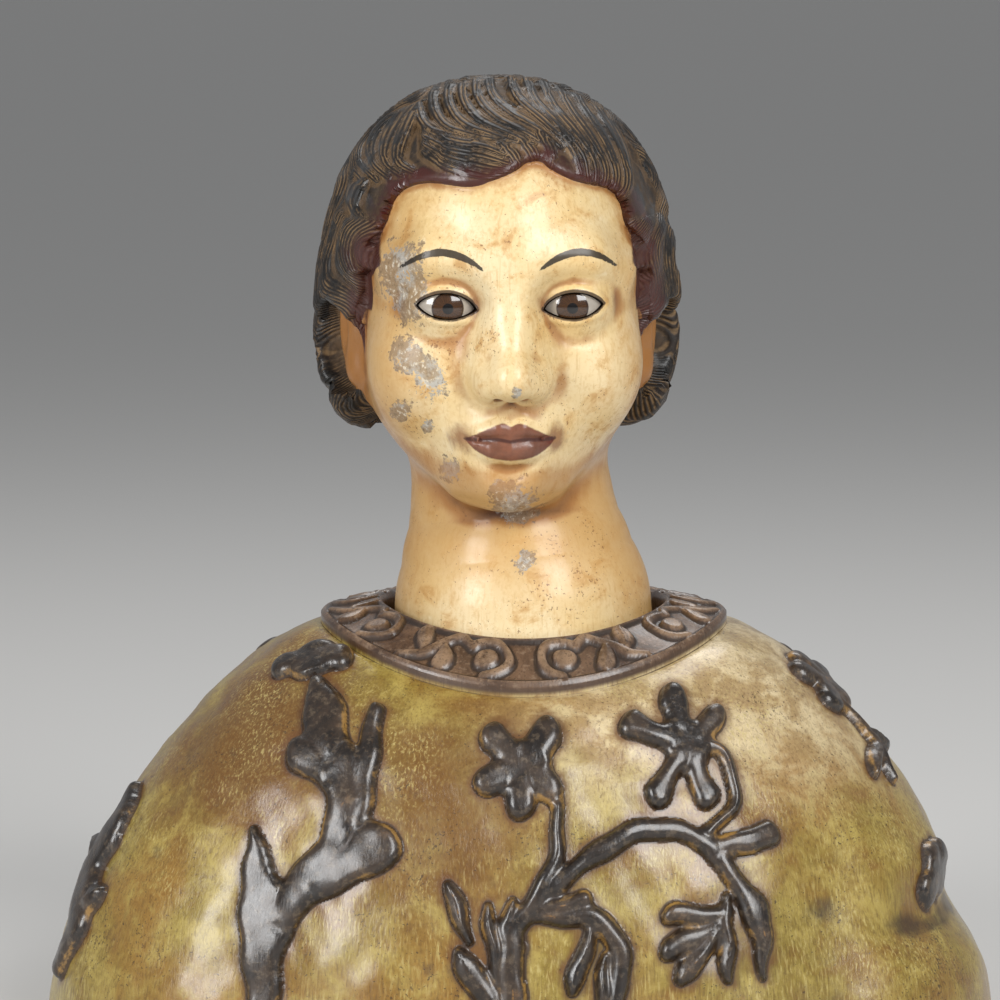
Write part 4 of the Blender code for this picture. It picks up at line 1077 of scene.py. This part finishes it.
def collar_fine(around, share):
    """From the robe at share 0 up over the band to the socket's rim, then down its wall at share 1.
    Also gives the height of the carving on the band."""
    rim = np.clip(share / COLLAR_TOP_SHARE, 0, 1)
    foot = ramp(rim, 0, COLLAR_FOOT_SHARE)
    outward = 1 - np.maximum(rim - COLLAR_FOOT_SHARE, 0) / (1 - COLLAR_FOOT_SHARE)
    level = round_value(around, ROBE_HEIGHT_SIDE, ROBE_HEIGHT_FRONT, ROBE_HEIGHT_BACK)
    lift = round_value(around, COLLAR_LIFT_SIDE, COLLAR_LIFT_FRONT, COLLAR_LIFT_BACK)
    half_round = SOCKET_HALF_WIDTH + COLLAR_BAND_SIDE / 2
    spots = np.column_stack((around * half_round, BAND_DRAWN * (1 - outward)))
    edge = np.minimum(spots[:, 1], BAND_DRAWN - spots[:, 1])
    border = np.exp(-(((edge - 0.9) / 0.8) ** 2))
    forms = stroke_forms(spots, collar_strokes(), 0.8)
    edge_in, nearest, second, middle, _, is_leaf = forms.T
    inside = np.clip(-edge_in / 1.1, 0, 1)
    carving = SCROLL_RISE * np.sqrt(1 - (1 - inside) ** 2)
    carving -= 0.35 * np.exp(-(((second - nearest) / 0.6) ** 2)) * ramp(-second, 0, 0.7)
    carving += 0.25 * is_leaf * np.exp(-((middle / 0.5) ** 2)) * inside
    carving -= 0.45 * np.exp(-(((edge_in - 0.35) / 0.4) ** 2))
    relief = np.maximum(carving, border) * ramp(rim, 0.06, 0.16)
    relief = relief * (1 - ramp(share, COLLAR_TOP_SHARE - 0.02, COLLAR_TOP_SHARE))
    round_over = 1.2 * ramp(rim, 0.9, 1.0) ** 2
    down = np.clip((share - COLLAR_TOP_SHARE) / (1 - COLLAR_TOP_SHARE), 0, 1)
    top = level + COLLAR_THICKNESS * foot + lift * (1 - outward) + relief - round_over
    height = top + (SOCKET_FLOOR - top) * down
    x = SOCKET_X + (SOCKET_HALF_WIDTH + COLLAR_BAND_SIDE * outward) * np.sin(around)
    y = SOCKET_Y - (SOCKET_HALF_DEPTH + COLLAR_BAND_FRONT * outward) * np.cos(around)
    return np.column_stack((x, y, height)), relief, np.minimum(edge_in, edge - 1.6)


def spread(turns):
    """Angle round the robe, with columns closer together in front."""
    return turns - 0.30 * np.sin(turns) - 0.12 * np.sin(2 * turns)


def carve_robe(material):
    rows = ROBE_LINES + COLLAR_LINES
    bm = bmesh.new()
    bmesh.ops.create_grid(bm, x_segments=ROBE_COLUMNS, y_segments=rows, size=0.5)
    bmesh.ops.translate(bm, vec=(0.5, 0.5, 0), verts=bm.verts)

    def laid_out():
        grid = np.array([vert.co[:] for vert in bm.verts])
        around = spread((grid[:, 0] * 2 - 1) * math.pi)
        return around, grid[:, 1] * rows

    for reach in FINER_REACHES:
        around, row = laid_out()
        plain, normals = robe_frame(around, np.clip(row / ROBE_LINES, 0, 1))
        edge = foliage_forms(plain, normals)[:, 0]
        chosen = (row < ROBE_LINES - 0.5) & (np.abs(edge + 0.5) < reach)
        if reach > 1:
            share = (row - ROBE_LINES) / COLLAR_LINES
            chosen |= (share > 0.02) & (share < COLLAR_TOP_SHARE + 0.02) & (np.cos(around) > -0.35)
        cut_finer(bm, chosen)
    around, row = laid_out()
    on_robe = row <= ROBE_LINES + 1e-6
    rise = np.clip(row / ROBE_LINES, 0, 1)
    points, normals = robe_frame(around, rise)
    forms = foliage_forms(points, normals)
    uneven = tool_marks(points) * ramp(rise, 0.02, 0.1) * (1 - ramp(rise, 0.93, 0.99))
    points = points + normals * (foliage_height(forms) + uneven)[:, None]
    share = np.clip((row - ROBE_LINES) / COLLAR_LINES, 0, 1)
    collar, relief, carved_edge = collar_fine(around, share)
    points[~on_robe] = collar[~on_robe]
    marks = {
        "leaf_edge": np.where(on_robe, np.clip(forms[:, 0], -6, 8), 8),
        "leaf_vein": np.where(on_robe, forms[:, 3], 9),
        "band": np.where(on_robe, -1, share),
        "scroll": np.where(on_robe, 0, relief),
        "scroll_edge": np.where(on_robe, 5, np.clip(carved_edge, -4, 5)),
    }
    layers = {name: bm.verts.layers.float.new(name) for name in marks}
    for i, vert in enumerate(bm.verts):
        vert.co = points[i]
        for name, layer in layers.items():
            vert[layer] = marks[name][i]
    lowest = [edge for edge in bm.edges if max(edge.verts[0].co.z, edge.verts[1].co.z) < 1e-3]
    made = bmesh.ops.extrude_edge_only(bm, edges=lowest)
    bmesh.ops.translate(bm, vec=(0, 0, -UNDER), verts=verts_in(made))
    bmesh.ops.remove_doubles(bm, verts=bm.verts, dist=1e-3)
    open_edges = [edge for edge in bm.edges if edge.is_boundary]
    for level in (-UNDER, SOCKET_FLOOR):
        rim = [edge for edge in open_edges if abs(edge.verts[0].co.z - level) < 0.5]
        bmesh.ops.contextual_create(bm, geom=rim)
    bmesh.ops.recalc_face_normals(bm, faces=bm.faces)
    bmesh.ops.triangulate(bm, faces=[face for face in bm.faces if len(face.verts) > 4])
    mesh = mesh_of(bm, "robe")
    cut_flat(mesh, 0.0)
    attribute(mesh, "hollow", hollows(mesh, 5))
    set_points(mesh, points_of(mesh) * MM)
    return finished("robe", mesh, material)


def set_eye(name, side, material):
    """A glass eye shaped to its opening, with rings for iris and pupil marked on it."""
    bm = bmesh.new()
    bmesh.ops.create_uvsphere(bm, u_segments=96, v_segments=64, radius=EYE_BALL)
    bmesh.ops.rotate(bm, matrix=Matrix.Rotation(math.pi / 2, 3, "X"), verts=bm.verts)
    mesh = mesh_of(bm, name)
    set_points(mesh, points_of(mesh) + EYE_PLACE * (side, 1, 1))
    gap = SEAT_GAP / HEAD_SCALE
    depth = EYE_BALL - EYE_THICKNESS / HEAD_SCALE + gap
    blade = almond(side, gap, EYE_BALL + 6, depth)
    set_points(blade, unplaced_head(points_of(blade)) @ HEAD_TURN)
    mesh = trimmed(mesh, blade, "INTERSECT")
    q = points_of(mesh)
    gaze = np.array((side * -0.03, -1.0, -0.02))
    gaze /= np.linalg.norm(gaze)
    offset = q - EYE_PLACE * (side, 1, 1)
    ahead = offset @ gaze
    ring = np.linalg.norm(offset - ahead[:, None] * gaze, axis=1)
    attribute(mesh, "ring", np.where(ahead > 0, ring, 20.0))
    attribute(mesh, "ray", np.arctan2(offset[:, 2], offset[:, 0]))
    set_points(mesh, placed_head(q @ HEAD_TURN.T))
    return finished(name, mesh, material)


def node(tree, kind, settings=None, **inputs):
    """Adds a node. Inputs are numbers, colours or other nodes' outputs, by socket name or _index."""
    made = tree.nodes.new("ShaderNode" + kind)
    for name, value in (settings or {}).items():
        setattr(made, name, value)
    for name, value in inputs.items():
        socket = made.inputs[int(name[1:]) if name[0] == "_" else name.replace("_", " ")]
        if isinstance(value, bpy.types.NodeSocket):
            tree.links.new(value, socket)
        else:
            socket.default_value = value
    return made


def blend(share, first, second):
    """The second colour over the first. Share is a socket, and a colour a socket or a triple."""
    colours = [c if isinstance(c, bpy.types.NodeSocket) else (*c, 1) for c in (first, second)]
    kind = {"data_type": "RGBA"}
    return node(share.id_data, "Mix", kind, _0=share, _6=colours[0], _7=colours[1]).outputs[2]


def reckon(way, first, second=0.0, third=0.0):
    return node(first.id_data, "Math", {"operation": way}, _0=first, _1=second, _2=third).outputs[0]


def product(first, second):
    return reckon("MULTIPLY", first, second)


def plus(value, other, times=1.0):
    """A value with times the other one added to it."""
    return reckon("MULTIPLY_ADD", other, times, value)


def between(value, low, high, least=0.0, most=1.0):
    """Smooth step from least to most as value goes from low to high."""
    if low > high:
        low, high, least, most = high, low, most, least
    made = node(value.id_data, "MapRange", {"interpolation_type": "SMOOTHSTEP"}, Value=value)
    for name, number in zip(("From Min", "From Max", "To Min", "To Max"), (low, high, least, most)):
        made.inputs[name].default_value = number
    return made.outputs[0]


def layered(colour, *layers):
    """Paints thin layers over a colour. Each layer has the value that spreads it, where it starts,
    where it is full, how strong it is there, and its own colour."""
    for value, start, full, strength, paint in layers:
        colour = blend(between(value, start, full, 0, strength), colour, paint)
    return colour


def noise(vector, scale, detail=3.0, rough=0.55, warp=0.0):
    made = node(vector.id_data, "TexNoise", Vector=vector, Scale=scale, Detail=detail)
    made.inputs["Roughness"].default_value = rough
    made.inputs["Distortion"].default_value = warp
    return made.outputs[0]


def mark(tree, name):
    return node(tree, "Attribute", {"attribute_name": name}).outputs["Fac"]


def finish_group(name, inputs, output_names):
    """An empty finish that several materials use, with its named sockets."""
    tree = bpy.data.node_groups.new(name, "ShaderNodeTree")
    for label, kind, value in inputs:
        socket = tree.interface.new_socket(label, in_out="INPUT", socket_type="NodeSocket" + kind)
        if value is not None:
            socket.default_value = value
    for label in output_names:
        tree.interface.new_socket(label, in_out="OUTPUT", socket_type="NodeSocketFloat")
    return tree, tree.nodes.new("NodeGroupInput").outputs, tree.nodes.new("NodeGroupOutput").inputs


def grime_finish():
    """Old dirt: thick in hollows, thin and patchy on open paint, with fine dark specks."""
    inputs = (
        ("Places", "Vector", None),
        ("Hollow", "Float", 0.0),
        ("Depth", "Float", 0.1),
        ("Patches", "Float", 60.0),
        ("Specks", "Float", 0.5),
    )
    tree, given, put_out = finish_group("old_grime", inputs, ("Settled", "Speckled"))
    patches = noise(given["Places"], given["Patches"], 5, 0.62)
    depth = reckon("DIVIDE", given["Hollow"], given["Depth"])
    settled = between(plus(depth, plus(-0.8, patches, 1.6)), 0.25, 1.1)
    tree.links.new(settled, put_out["Settled"])
    fine = noise(given["Places"], 1300, 2, 0.6)
    broad = noise(given["Places"], 60, 4, 0.7)
    limit = plus(0.98, given["Specks"], -0.10)
    dotted = reckon("SUBTRACT", plus(fine, broad, 0.55), limit)
    tree.links.new(between(dotted, 0.0, 0.06), put_out["Speckled"])
    return tree


def brush_finish():
    """Fine brush strokes in a paint coat: light and dark streaks along one direction."""
    inputs = (
        ("Places", "Vector", None),
        ("Lean", "Vector", (0.0, 0.0, 0.0)),
        ("Fineness", "Float", 1.0),
    )
    tree, given, put_out = finish_group("brush_strokes", inputs, ("Streak",))
    turned = node(tree, "Mapping", Vector=given["Places"], Rotation=given["Lean"], Scale=STROKE_SCALE)
    scaled = node(tree, "VectorMath", {"operation": "SCALE"}, _0=turned.outputs[0])
    tree.links.new(given["Fineness"], scaled.inputs["Scale"])
    tree.links.new(noise(scaled.outputs[0], 1.0, 3, 0.6, 0.4), put_out["Streak"])
    return tree


def used(group, places, **inputs):
    """Uses a finish in the tree of its places."""
    return node(places.id_data, "Group", {"node_tree": group}, Places=places, **inputs).outputs


def new_paint(name, **constants):
    """A material with some of its shader's sockets set."""
    material = bpy.data.materials.new(name)
    material.use_nodes = True
    shader = material.node_tree.nodes["Principled BSDF"]
    for socket, value in constants.items():
        shader.inputs[socket.replace("_", " ")].default_value = value
    return material, material.node_tree, shader


def painted(shader, colour, rough, coat, height, strength):
    """Links a paint's colour, roughness, coat and fine relief to its shader."""
    tree = shader.id_data
    bump = node(tree, "Bump", Height=height, Strength=strength, Distance=BUMP_DEPTH)
    looks = {"Base Color": colour, "Roughness": rough, "Coat Weight": coat, "Normal": bump.outputs[0]}
    for socket, value in looks.items():
        tree.links.new(value, shader.inputs[socket])


def robe_glaze(grime, brush):
    """Ochre and olive glaze, brown-black foliage with rubbed edges, brown worn collar."""
    material, tree, shader = new_paint("robe_glaze", Coat_Roughness=0.20)
    at = node(tree, "TexCoord").outputs["Object"]
    broad = noise(at, 20, 4, 0.6, 0.3)
    mottle = noise(at, 85, 6, 0.68, 0.4)
    fine = noise(at, 520, 4, 0.68)
    xyz = node(tree, "SeparateXYZ", Vector=at).outputs
    left, right = (used(brush, at, Lean=(0, lean, 0), Fineness=1.0)[0] for lean in (0.65, -0.6))
    side = between(plus(xyz["X"], mottle, 0.05), 0.0, 0.05)
    streak = node(tree, "Mix", {"data_type": "FLOAT"}, _0=side, _2=left, _3=right).outputs[0]
    colour = layered(
        blend(between(broad, 0.36, 0.64), (0.30, 0.155, 0.026), (0.26, 0.185, 0.032)),
        (mottle, 0.46, 0.66, 1, (0.40, 0.30, 0.070)),
        (mottle, 0.50, 0.30, 0.75, (0.19, 0.085, 0.015)),
        (broad, 0.62, 0.44, 0.3, (0.22, 0.12, 0.022)),
    )
    for spot, strength in BROWN_PATCHES:
        away = node(tree, "VectorMath", {"operation": "DISTANCE"}, _0=at, _1=spot).outputs["Value"]
        patch = (plus(away, mottle, 0.04), 0.064, 0.034, strength, (0.13, 0.055, 0.010))
        colour = layered(colour, patch)
    # Painted highlight: pale cream on the robe's upper right, where the shoulder's top catches the light
    painted_shoulder_highlight = product(between(xyz["Z"], 0.055, 0.085), between(xyz["X"], -0.02, 0.03))
    painted_shoulder_highlight = product(painted_shoulder_highlight, between(mottle, 0.40, 0.60, 0.3, 0.9))
    colour = blend(painted_shoulder_highlight, colour, (0.66, 0.53, 0.32))
    strokes = between(noise(at, 34, 4, 0.65, 0.2), 0.42, 0.62, 0.12, 0.75)
    strokes = product(between(streak, 0.50, 0.68), strokes)
    dirt = used(grime, at, Hollow=mark(tree, "hollow"), Depth=0.16, Patches=90.0, Specks=0.5)
    edge = mark(tree, "leaf_edge")
    colour = layered(
        blend(strokes, colour, (0.50, 0.40, 0.15)),
        (streak, 0.48, 0.32, 0.42, (0.085, 0.040, 0.009)),
        (fine, 0.52, 0.38, 0.22, (0.13, 0.065, 0.014)),
        (plus(edge, mottle, 3.0), 4.0, 1.6, 0.75, (0.12, 0.045, 0.012)),
    )
    # Foliage
    dark = layered(
        blend(between(mottle, 0.38, 0.62), (0.010, 0.006, 0.004), (0.040, 0.023, 0.012)),
        (mottle, 0.58, 0.70, 0.7, (0.15, 0.080, 0.034)),
        (fine, 0.50, 0.66, 0.45, (0.145, 0.105, 0.066)),
    )
    rim = product(between(plus(edge, fine), -0.55, -0.1), between(mottle, 0.50, 0.64))
    dark = blend(product(rim, 0.7), dark, (0.40, 0.22, 0.050))
    vein = plus(mark(tree, "leaf_vein"), fine, 0.8)
    gold = product(between(vein, 0.72, 0.45), between(mottle, 0.54, 0.66))
    dark = blend(product(gold, 0.6), dark, (0.40, 0.19, 0.035))
    colour = blend(between(edge, 0.25, -0.15), colour, dark)
    # Collar
    band = mark(tree, "band")
    groove = plus(mark(tree, "scroll_edge"), fine, 0.6)
    groove = reckon("ABSOLUTE", reckon("SUBTRACT", groove, 0.62))
    tops = between(plus(mark(tree, "scroll"), fine, 0.8), 1.0, 1.8)
    tops = product(tops, between(mottle, 0.40, 0.60, 0.15, 0.75))
    trim = blend(between(mottle, 0.36, 0.62), (0.050, 0.025, 0.013), (0.140, 0.078, 0.042))
    trim = layered(
        blend(tops, trim, (0.30, 0.195, 0.115)),
        (fine, 0.52, 0.66, 0.4, (0.30, 0.21, 0.14)),
        (streak, 0.48, 0.34, 0.6, (0.050, 0.024, 0.012)),
        (groove, 0.75, 0.25, 0.9, (0.022, 0.012, 0.007)),
        (band, 0.87, 0.92, 1, (0.035, 0.018, 0.009)),
        (band, 0.12, 0.06, 0.8, (0.055, 0.026, 0.011)),
    )
    colour = blend(between(band, 0.015, 0.06), colour, trim)
    colour = blend(product(dirt["Settled"], 0.8), colour, (0.030, 0.014, 0.006))
    colour = blend(product(dirt["Speckled"], 0.75), colour, (0.040, 0.020, 0.008))
    colour = blend(between(xyz["Z"], 0.004, 0.0), colour, (0.16, 0.09, 0.04))
    rough = plus(between(mottle, 0.35, 0.65, 0.28, 0.42), dirt["Settled"], 0.22)
    coat = between(edge, 0.25, -0.15, 0.5, 0.6)
    painted(shader, colour, rough, coat, plus(product(fine, 0.6), streak, 0.8), 0.35)
    return material


def head_paint(grime, brush):
    """Ivory flesh with old varnish, grime and chips; brown-black hair with dust and red edges."""
    constants = {"Coat_Roughness": 0.16, "Specular_IOR_Level": 0.38}
    material, tree, shader = new_paint("head_paint", **constants)
    at = node(tree, "TexCoord").outputs["Object"]
    broad = noise(at, 26, 4, 0.6, 0.3)
    mottle = noise(at, 120, 6, 0.68, 0.4)
    fine = noise(at, 700, 4, 0.68)
    streak = used(brush, at, Lean=(0, 0.1, 0), Fineness=0.8)[0]
    recess = mark(tree, "recess")
    dirt = used(grime, at, Hollow=recess, Depth=0.50, Patches=60.0, Specks=0.3)
    xyz = node(tree, "SeparateXYZ", Vector=at).outputs
    # Flesh
    flesh = layered(
        blend(between(broad, 0.36, 0.64), (0.77, 0.62, 0.37), (0.72, 0.52, 0.24)),
        (mottle, 0.48, 0.70, 0.6, (0.62, 0.36, 0.11)),
        (fine, 0.50, 0.66, 0.25, (0.50, 0.28, 0.08)),
        (mottle, 0.44, 0.28, 0.4, (0.88, 0.78, 0.54)),
        (mottle, 0.57, 0.70, 0.5, (0.42, 0.20, 0.055)),
        (streak, 0.52, 0.72, 0.40, (0.50, 0.28, 0.085)),
    )
    # Painted shade: the upper neck just under the chin is darkened where the chin's shadow falls
    painted_throat_shade = product(between(xyz["Z"], 0.152, 0.138), between(xyz["Z"], 0.104, 0.128))
    flesh = blend(product(painted_throat_shade, 0.75), flesh, (0.52, 0.29, 0.09))
    aside = plus(reckon("ABSOLUTE", xyz["X"]), mottle, 0.016)
    flesh = layered(flesh, (aside, 0.027, 0.043, 0.65, (0.48, 0.25, 0.07)))
    flesh = blend(product(dirt["Settled"], 0.8), flesh, (0.33, 0.13, 0.028))
    flesh = layered(
        flesh,
        (plus(recess, mottle, 0.6), 0.70, 1.5, 1, (0.075, 0.024, 0.008)),
        (plus(mark(tree, "corner"), mottle, 9.0), 9.4, 5.6, 0.8, (0.20, 0.065, 0.016)),
        (plus(mark(tree, "ear"), mottle, 0.9), 1.85, 1.30, 0.9, (0.14, 0.045, 0.012)),
    )
    flesh = blend(product(dirt["Speckled"], 0.7), flesh, (0.17, 0.065, 0.018))
    # Chips down to the ground coat
    chip = plus(plus(mark(tree, "chip"), mottle, 2.4), fine, 1.5)
    bare = between(chip, 2.62, 2.48)
    ground = layered(
        blend(between(mottle, 0.44, 0.58), (0.24, 0.16, 0.095), (0.38, 0.40, 0.40)),
        (fine, 0.53, 0.66, 0.8, (0.80, 0.76, 0.64)),
        (fine, 0.44, 0.36, 0.7, (0.085, 0.055, 0.035)),
    )
    # Lips, brows and lid lines
    lip_red = blend(between(mottle, 0.4, 0.6), (0.095, 0.012, 0.008), (0.165, 0.038, 0.021))
    flesh = layered(
        blend(product(bare, 0.8), flesh, ground),
        (plus(mark(tree, "lips"), fine, 0.6), 0.60, 0.05, 0.92, lip_red),
        (plus(mark(tree, "lips_meet"), fine, 0.3), 0.85, 0.35, 0.85, (0.045, 0.010, 0.006)),
        (plus(mark(tree, "brow"), fine, 0.6), 0.40, 0.20, 0.94, (0.012, 0.008, 0.006)),
        (plus(mark(tree, "lash"), fine, 0.4), 0.34, 0.10, 0.9, (0.030, 0.012, 0.007)),
    )
    # Hair
    hair = blend(between(mottle, 0.36, 0.62), (0.005, 0.004, 0.003), (0.020, 0.012, 0.008))
    wave = plus(reckon("SINE", product(mark(tree, "strand"), COMBED)), product(fine, 0.8))
    crest = product(between(wave, -0.1, 1.7, 0, 0.9), between(mottle, 0.42, 0.62))
    hair = blend(crest, hair, (0.24, 0.150, 0.070))
    dust = between(plus(mark(tree, "hollow"), fine, 0.12), 0.07, 0.19)
    dust = product(dust, between(broad, 0.34, 0.56))
    red = plus(mark(tree, "rim"), mottle, 14.0)
    hair = layered(
        blend(product(dust, 0.55), hair, (0.17, 0.100, 0.046)),
        (fine, 0.54, 0.68, 0.25, (0.12, 0.088, 0.062)),
        (red, 12.5, 7.5, 0.85, (0.060, 0.009, 0.005)),
    )
    edge = plus(mark(tree, "hair"), fine, 0.5)
    on_hair = between(edge, 0.10, 0.45)
    off_hair = between(edge, 0.45, 0.10)
    smear = product(between(plus(mark(tree, "rim"), mottle, 9.0), 0.8, 5.5), off_hair)
    smear = product(smear, between(xyz["Z"], 0.132, 0.152))
    colour = blend(product(smear, 0.75), blend(on_hair, flesh, hair), (0.36, 0.155, 0.036))
    rough = plus(between(mottle, 0.35, 0.65, 0.32, 0.44), dirt["Settled"], 0.2)
    rough = plus(plus(rough, bare, 0.2), on_hair, between(red, 9, 22, 0.0, 0.12))
    shine = product(between(red, 26, 9, 0.2, 0.6), between(mottle, 0.60, 0.42))
    shine = plus(product(shine, on_hair), off_hair, 0.26)
    height = plus(plus(product(fine, 0.4), streak, 0.3), bare, -0.8)
    combed = product(on_hair, product(wave, -0.6))
    painted(shader, colour, rough, shine, plus(height, combed), 0.45)
    return material


def eye_glass():
    """Painted glass: grey white, brown iris with a dark rim and fine rays, black pupil."""
    constants = {"Roughness": 0.12, "Coat_Weight": 0.6, "Coat_Roughness": 0.02}
    material, tree, shader = new_paint("eye_glass", **constants)
    ring = mark(tree, "ring")
    cloud = noise(node(tree, "TexCoord").outputs["Object"], 300, 3, 0.6)
    white = blend(cloud, (0.33, 0.29, 0.24), (0.46, 0.41, 0.35))
    rays = noise(node(tree, "CombineXYZ", X=mark(tree, "ray")).outputs[0], 9, 3, 0.7)
    iris = blend(between(rays, 0.35, 0.7), (0.034, 0.014, 0.005), (0.078, 0.033, 0.011))
    colour = layered(
        iris,
        (ring, IRIS_RADIUS - 0.9, IRIS_RADIUS - 0.1, 1, (0.022, 0.010, 0.006)),
        (ring, IRIS_RADIUS - 0.25, IRIS_RADIUS, 1, white),
        (ring, PUPIL_RADIUS, PUPIL_RADIUS - 0.15, 1, (0.004, 0.003, 0.003)),
    )
    tree.links.new(colour, shader.inputs["Base Color"])
    return material


def aim(obj, place, target):
    obj.location = place
    obj.rotation_euler = (target - obj.location).to_track_quat("-Z", "Y").to_euler()


def set_stage():
    bm = bmesh.new()
    bmesh.ops.create_grid(bm, x_segments=1, y_segments=1, size=30)
    mesh = mesh_of(bm, "floor")
    mesh.materials.append(new_paint("pale_floor", Base_Color=FLOOR_GREY, Roughness=0.7)[0])
    floor = placed("floor", mesh)
    world = bpy.data.worlds.new("studio")
    world.use_nodes = True
    sky = world.node_tree.nodes["Background"]
    sky.inputs["Color"].default_value = (0.95, 0.97, 1.0, 1)
    sky.inputs["Strength"].default_value = 0.30
    bpy.context.scene.world = world
    for name, place, size, power in LAMPS:
        lamp = bpy.data.lights.new(name, "AREA")
        lamp.shape = "RECTANGLE"
        lamp.size, lamp.size_y = size
        lamp.energy = power
        aim(placed(name, lamp), place, LAMP_TARGET)


def set_camera():
    camera = placed("camera", bpy.data.cameras.new("camera"))
    lift = math.radians(CAMERA_LIFT)
    way = Vector((0, -math.cos(lift), math.sin(lift)))
    aim(camera, CAMERA_TARGET + CAMERA_AWAY * way, CAMERA_TARGET)
    camera.data.angle = 2 * math.atan(HALF_VIEW / CAMERA_AWAY)
    bpy.context.scene.camera = camera


bpy.context.scene.view_settings.view_transform = "Standard"
set_camera()
old_grime = grime_finish()
brush_strokes = brush_finish()
carve_robe(robe_glaze(old_grime, brush_strokes))
carve_head(head_paint(old_grime, brush_strokes))
glass = eye_glass()
for name, side in (("eye_right", -1), ("eye_left", 1)):
    set_eye(name, side, glass)
set_stage()
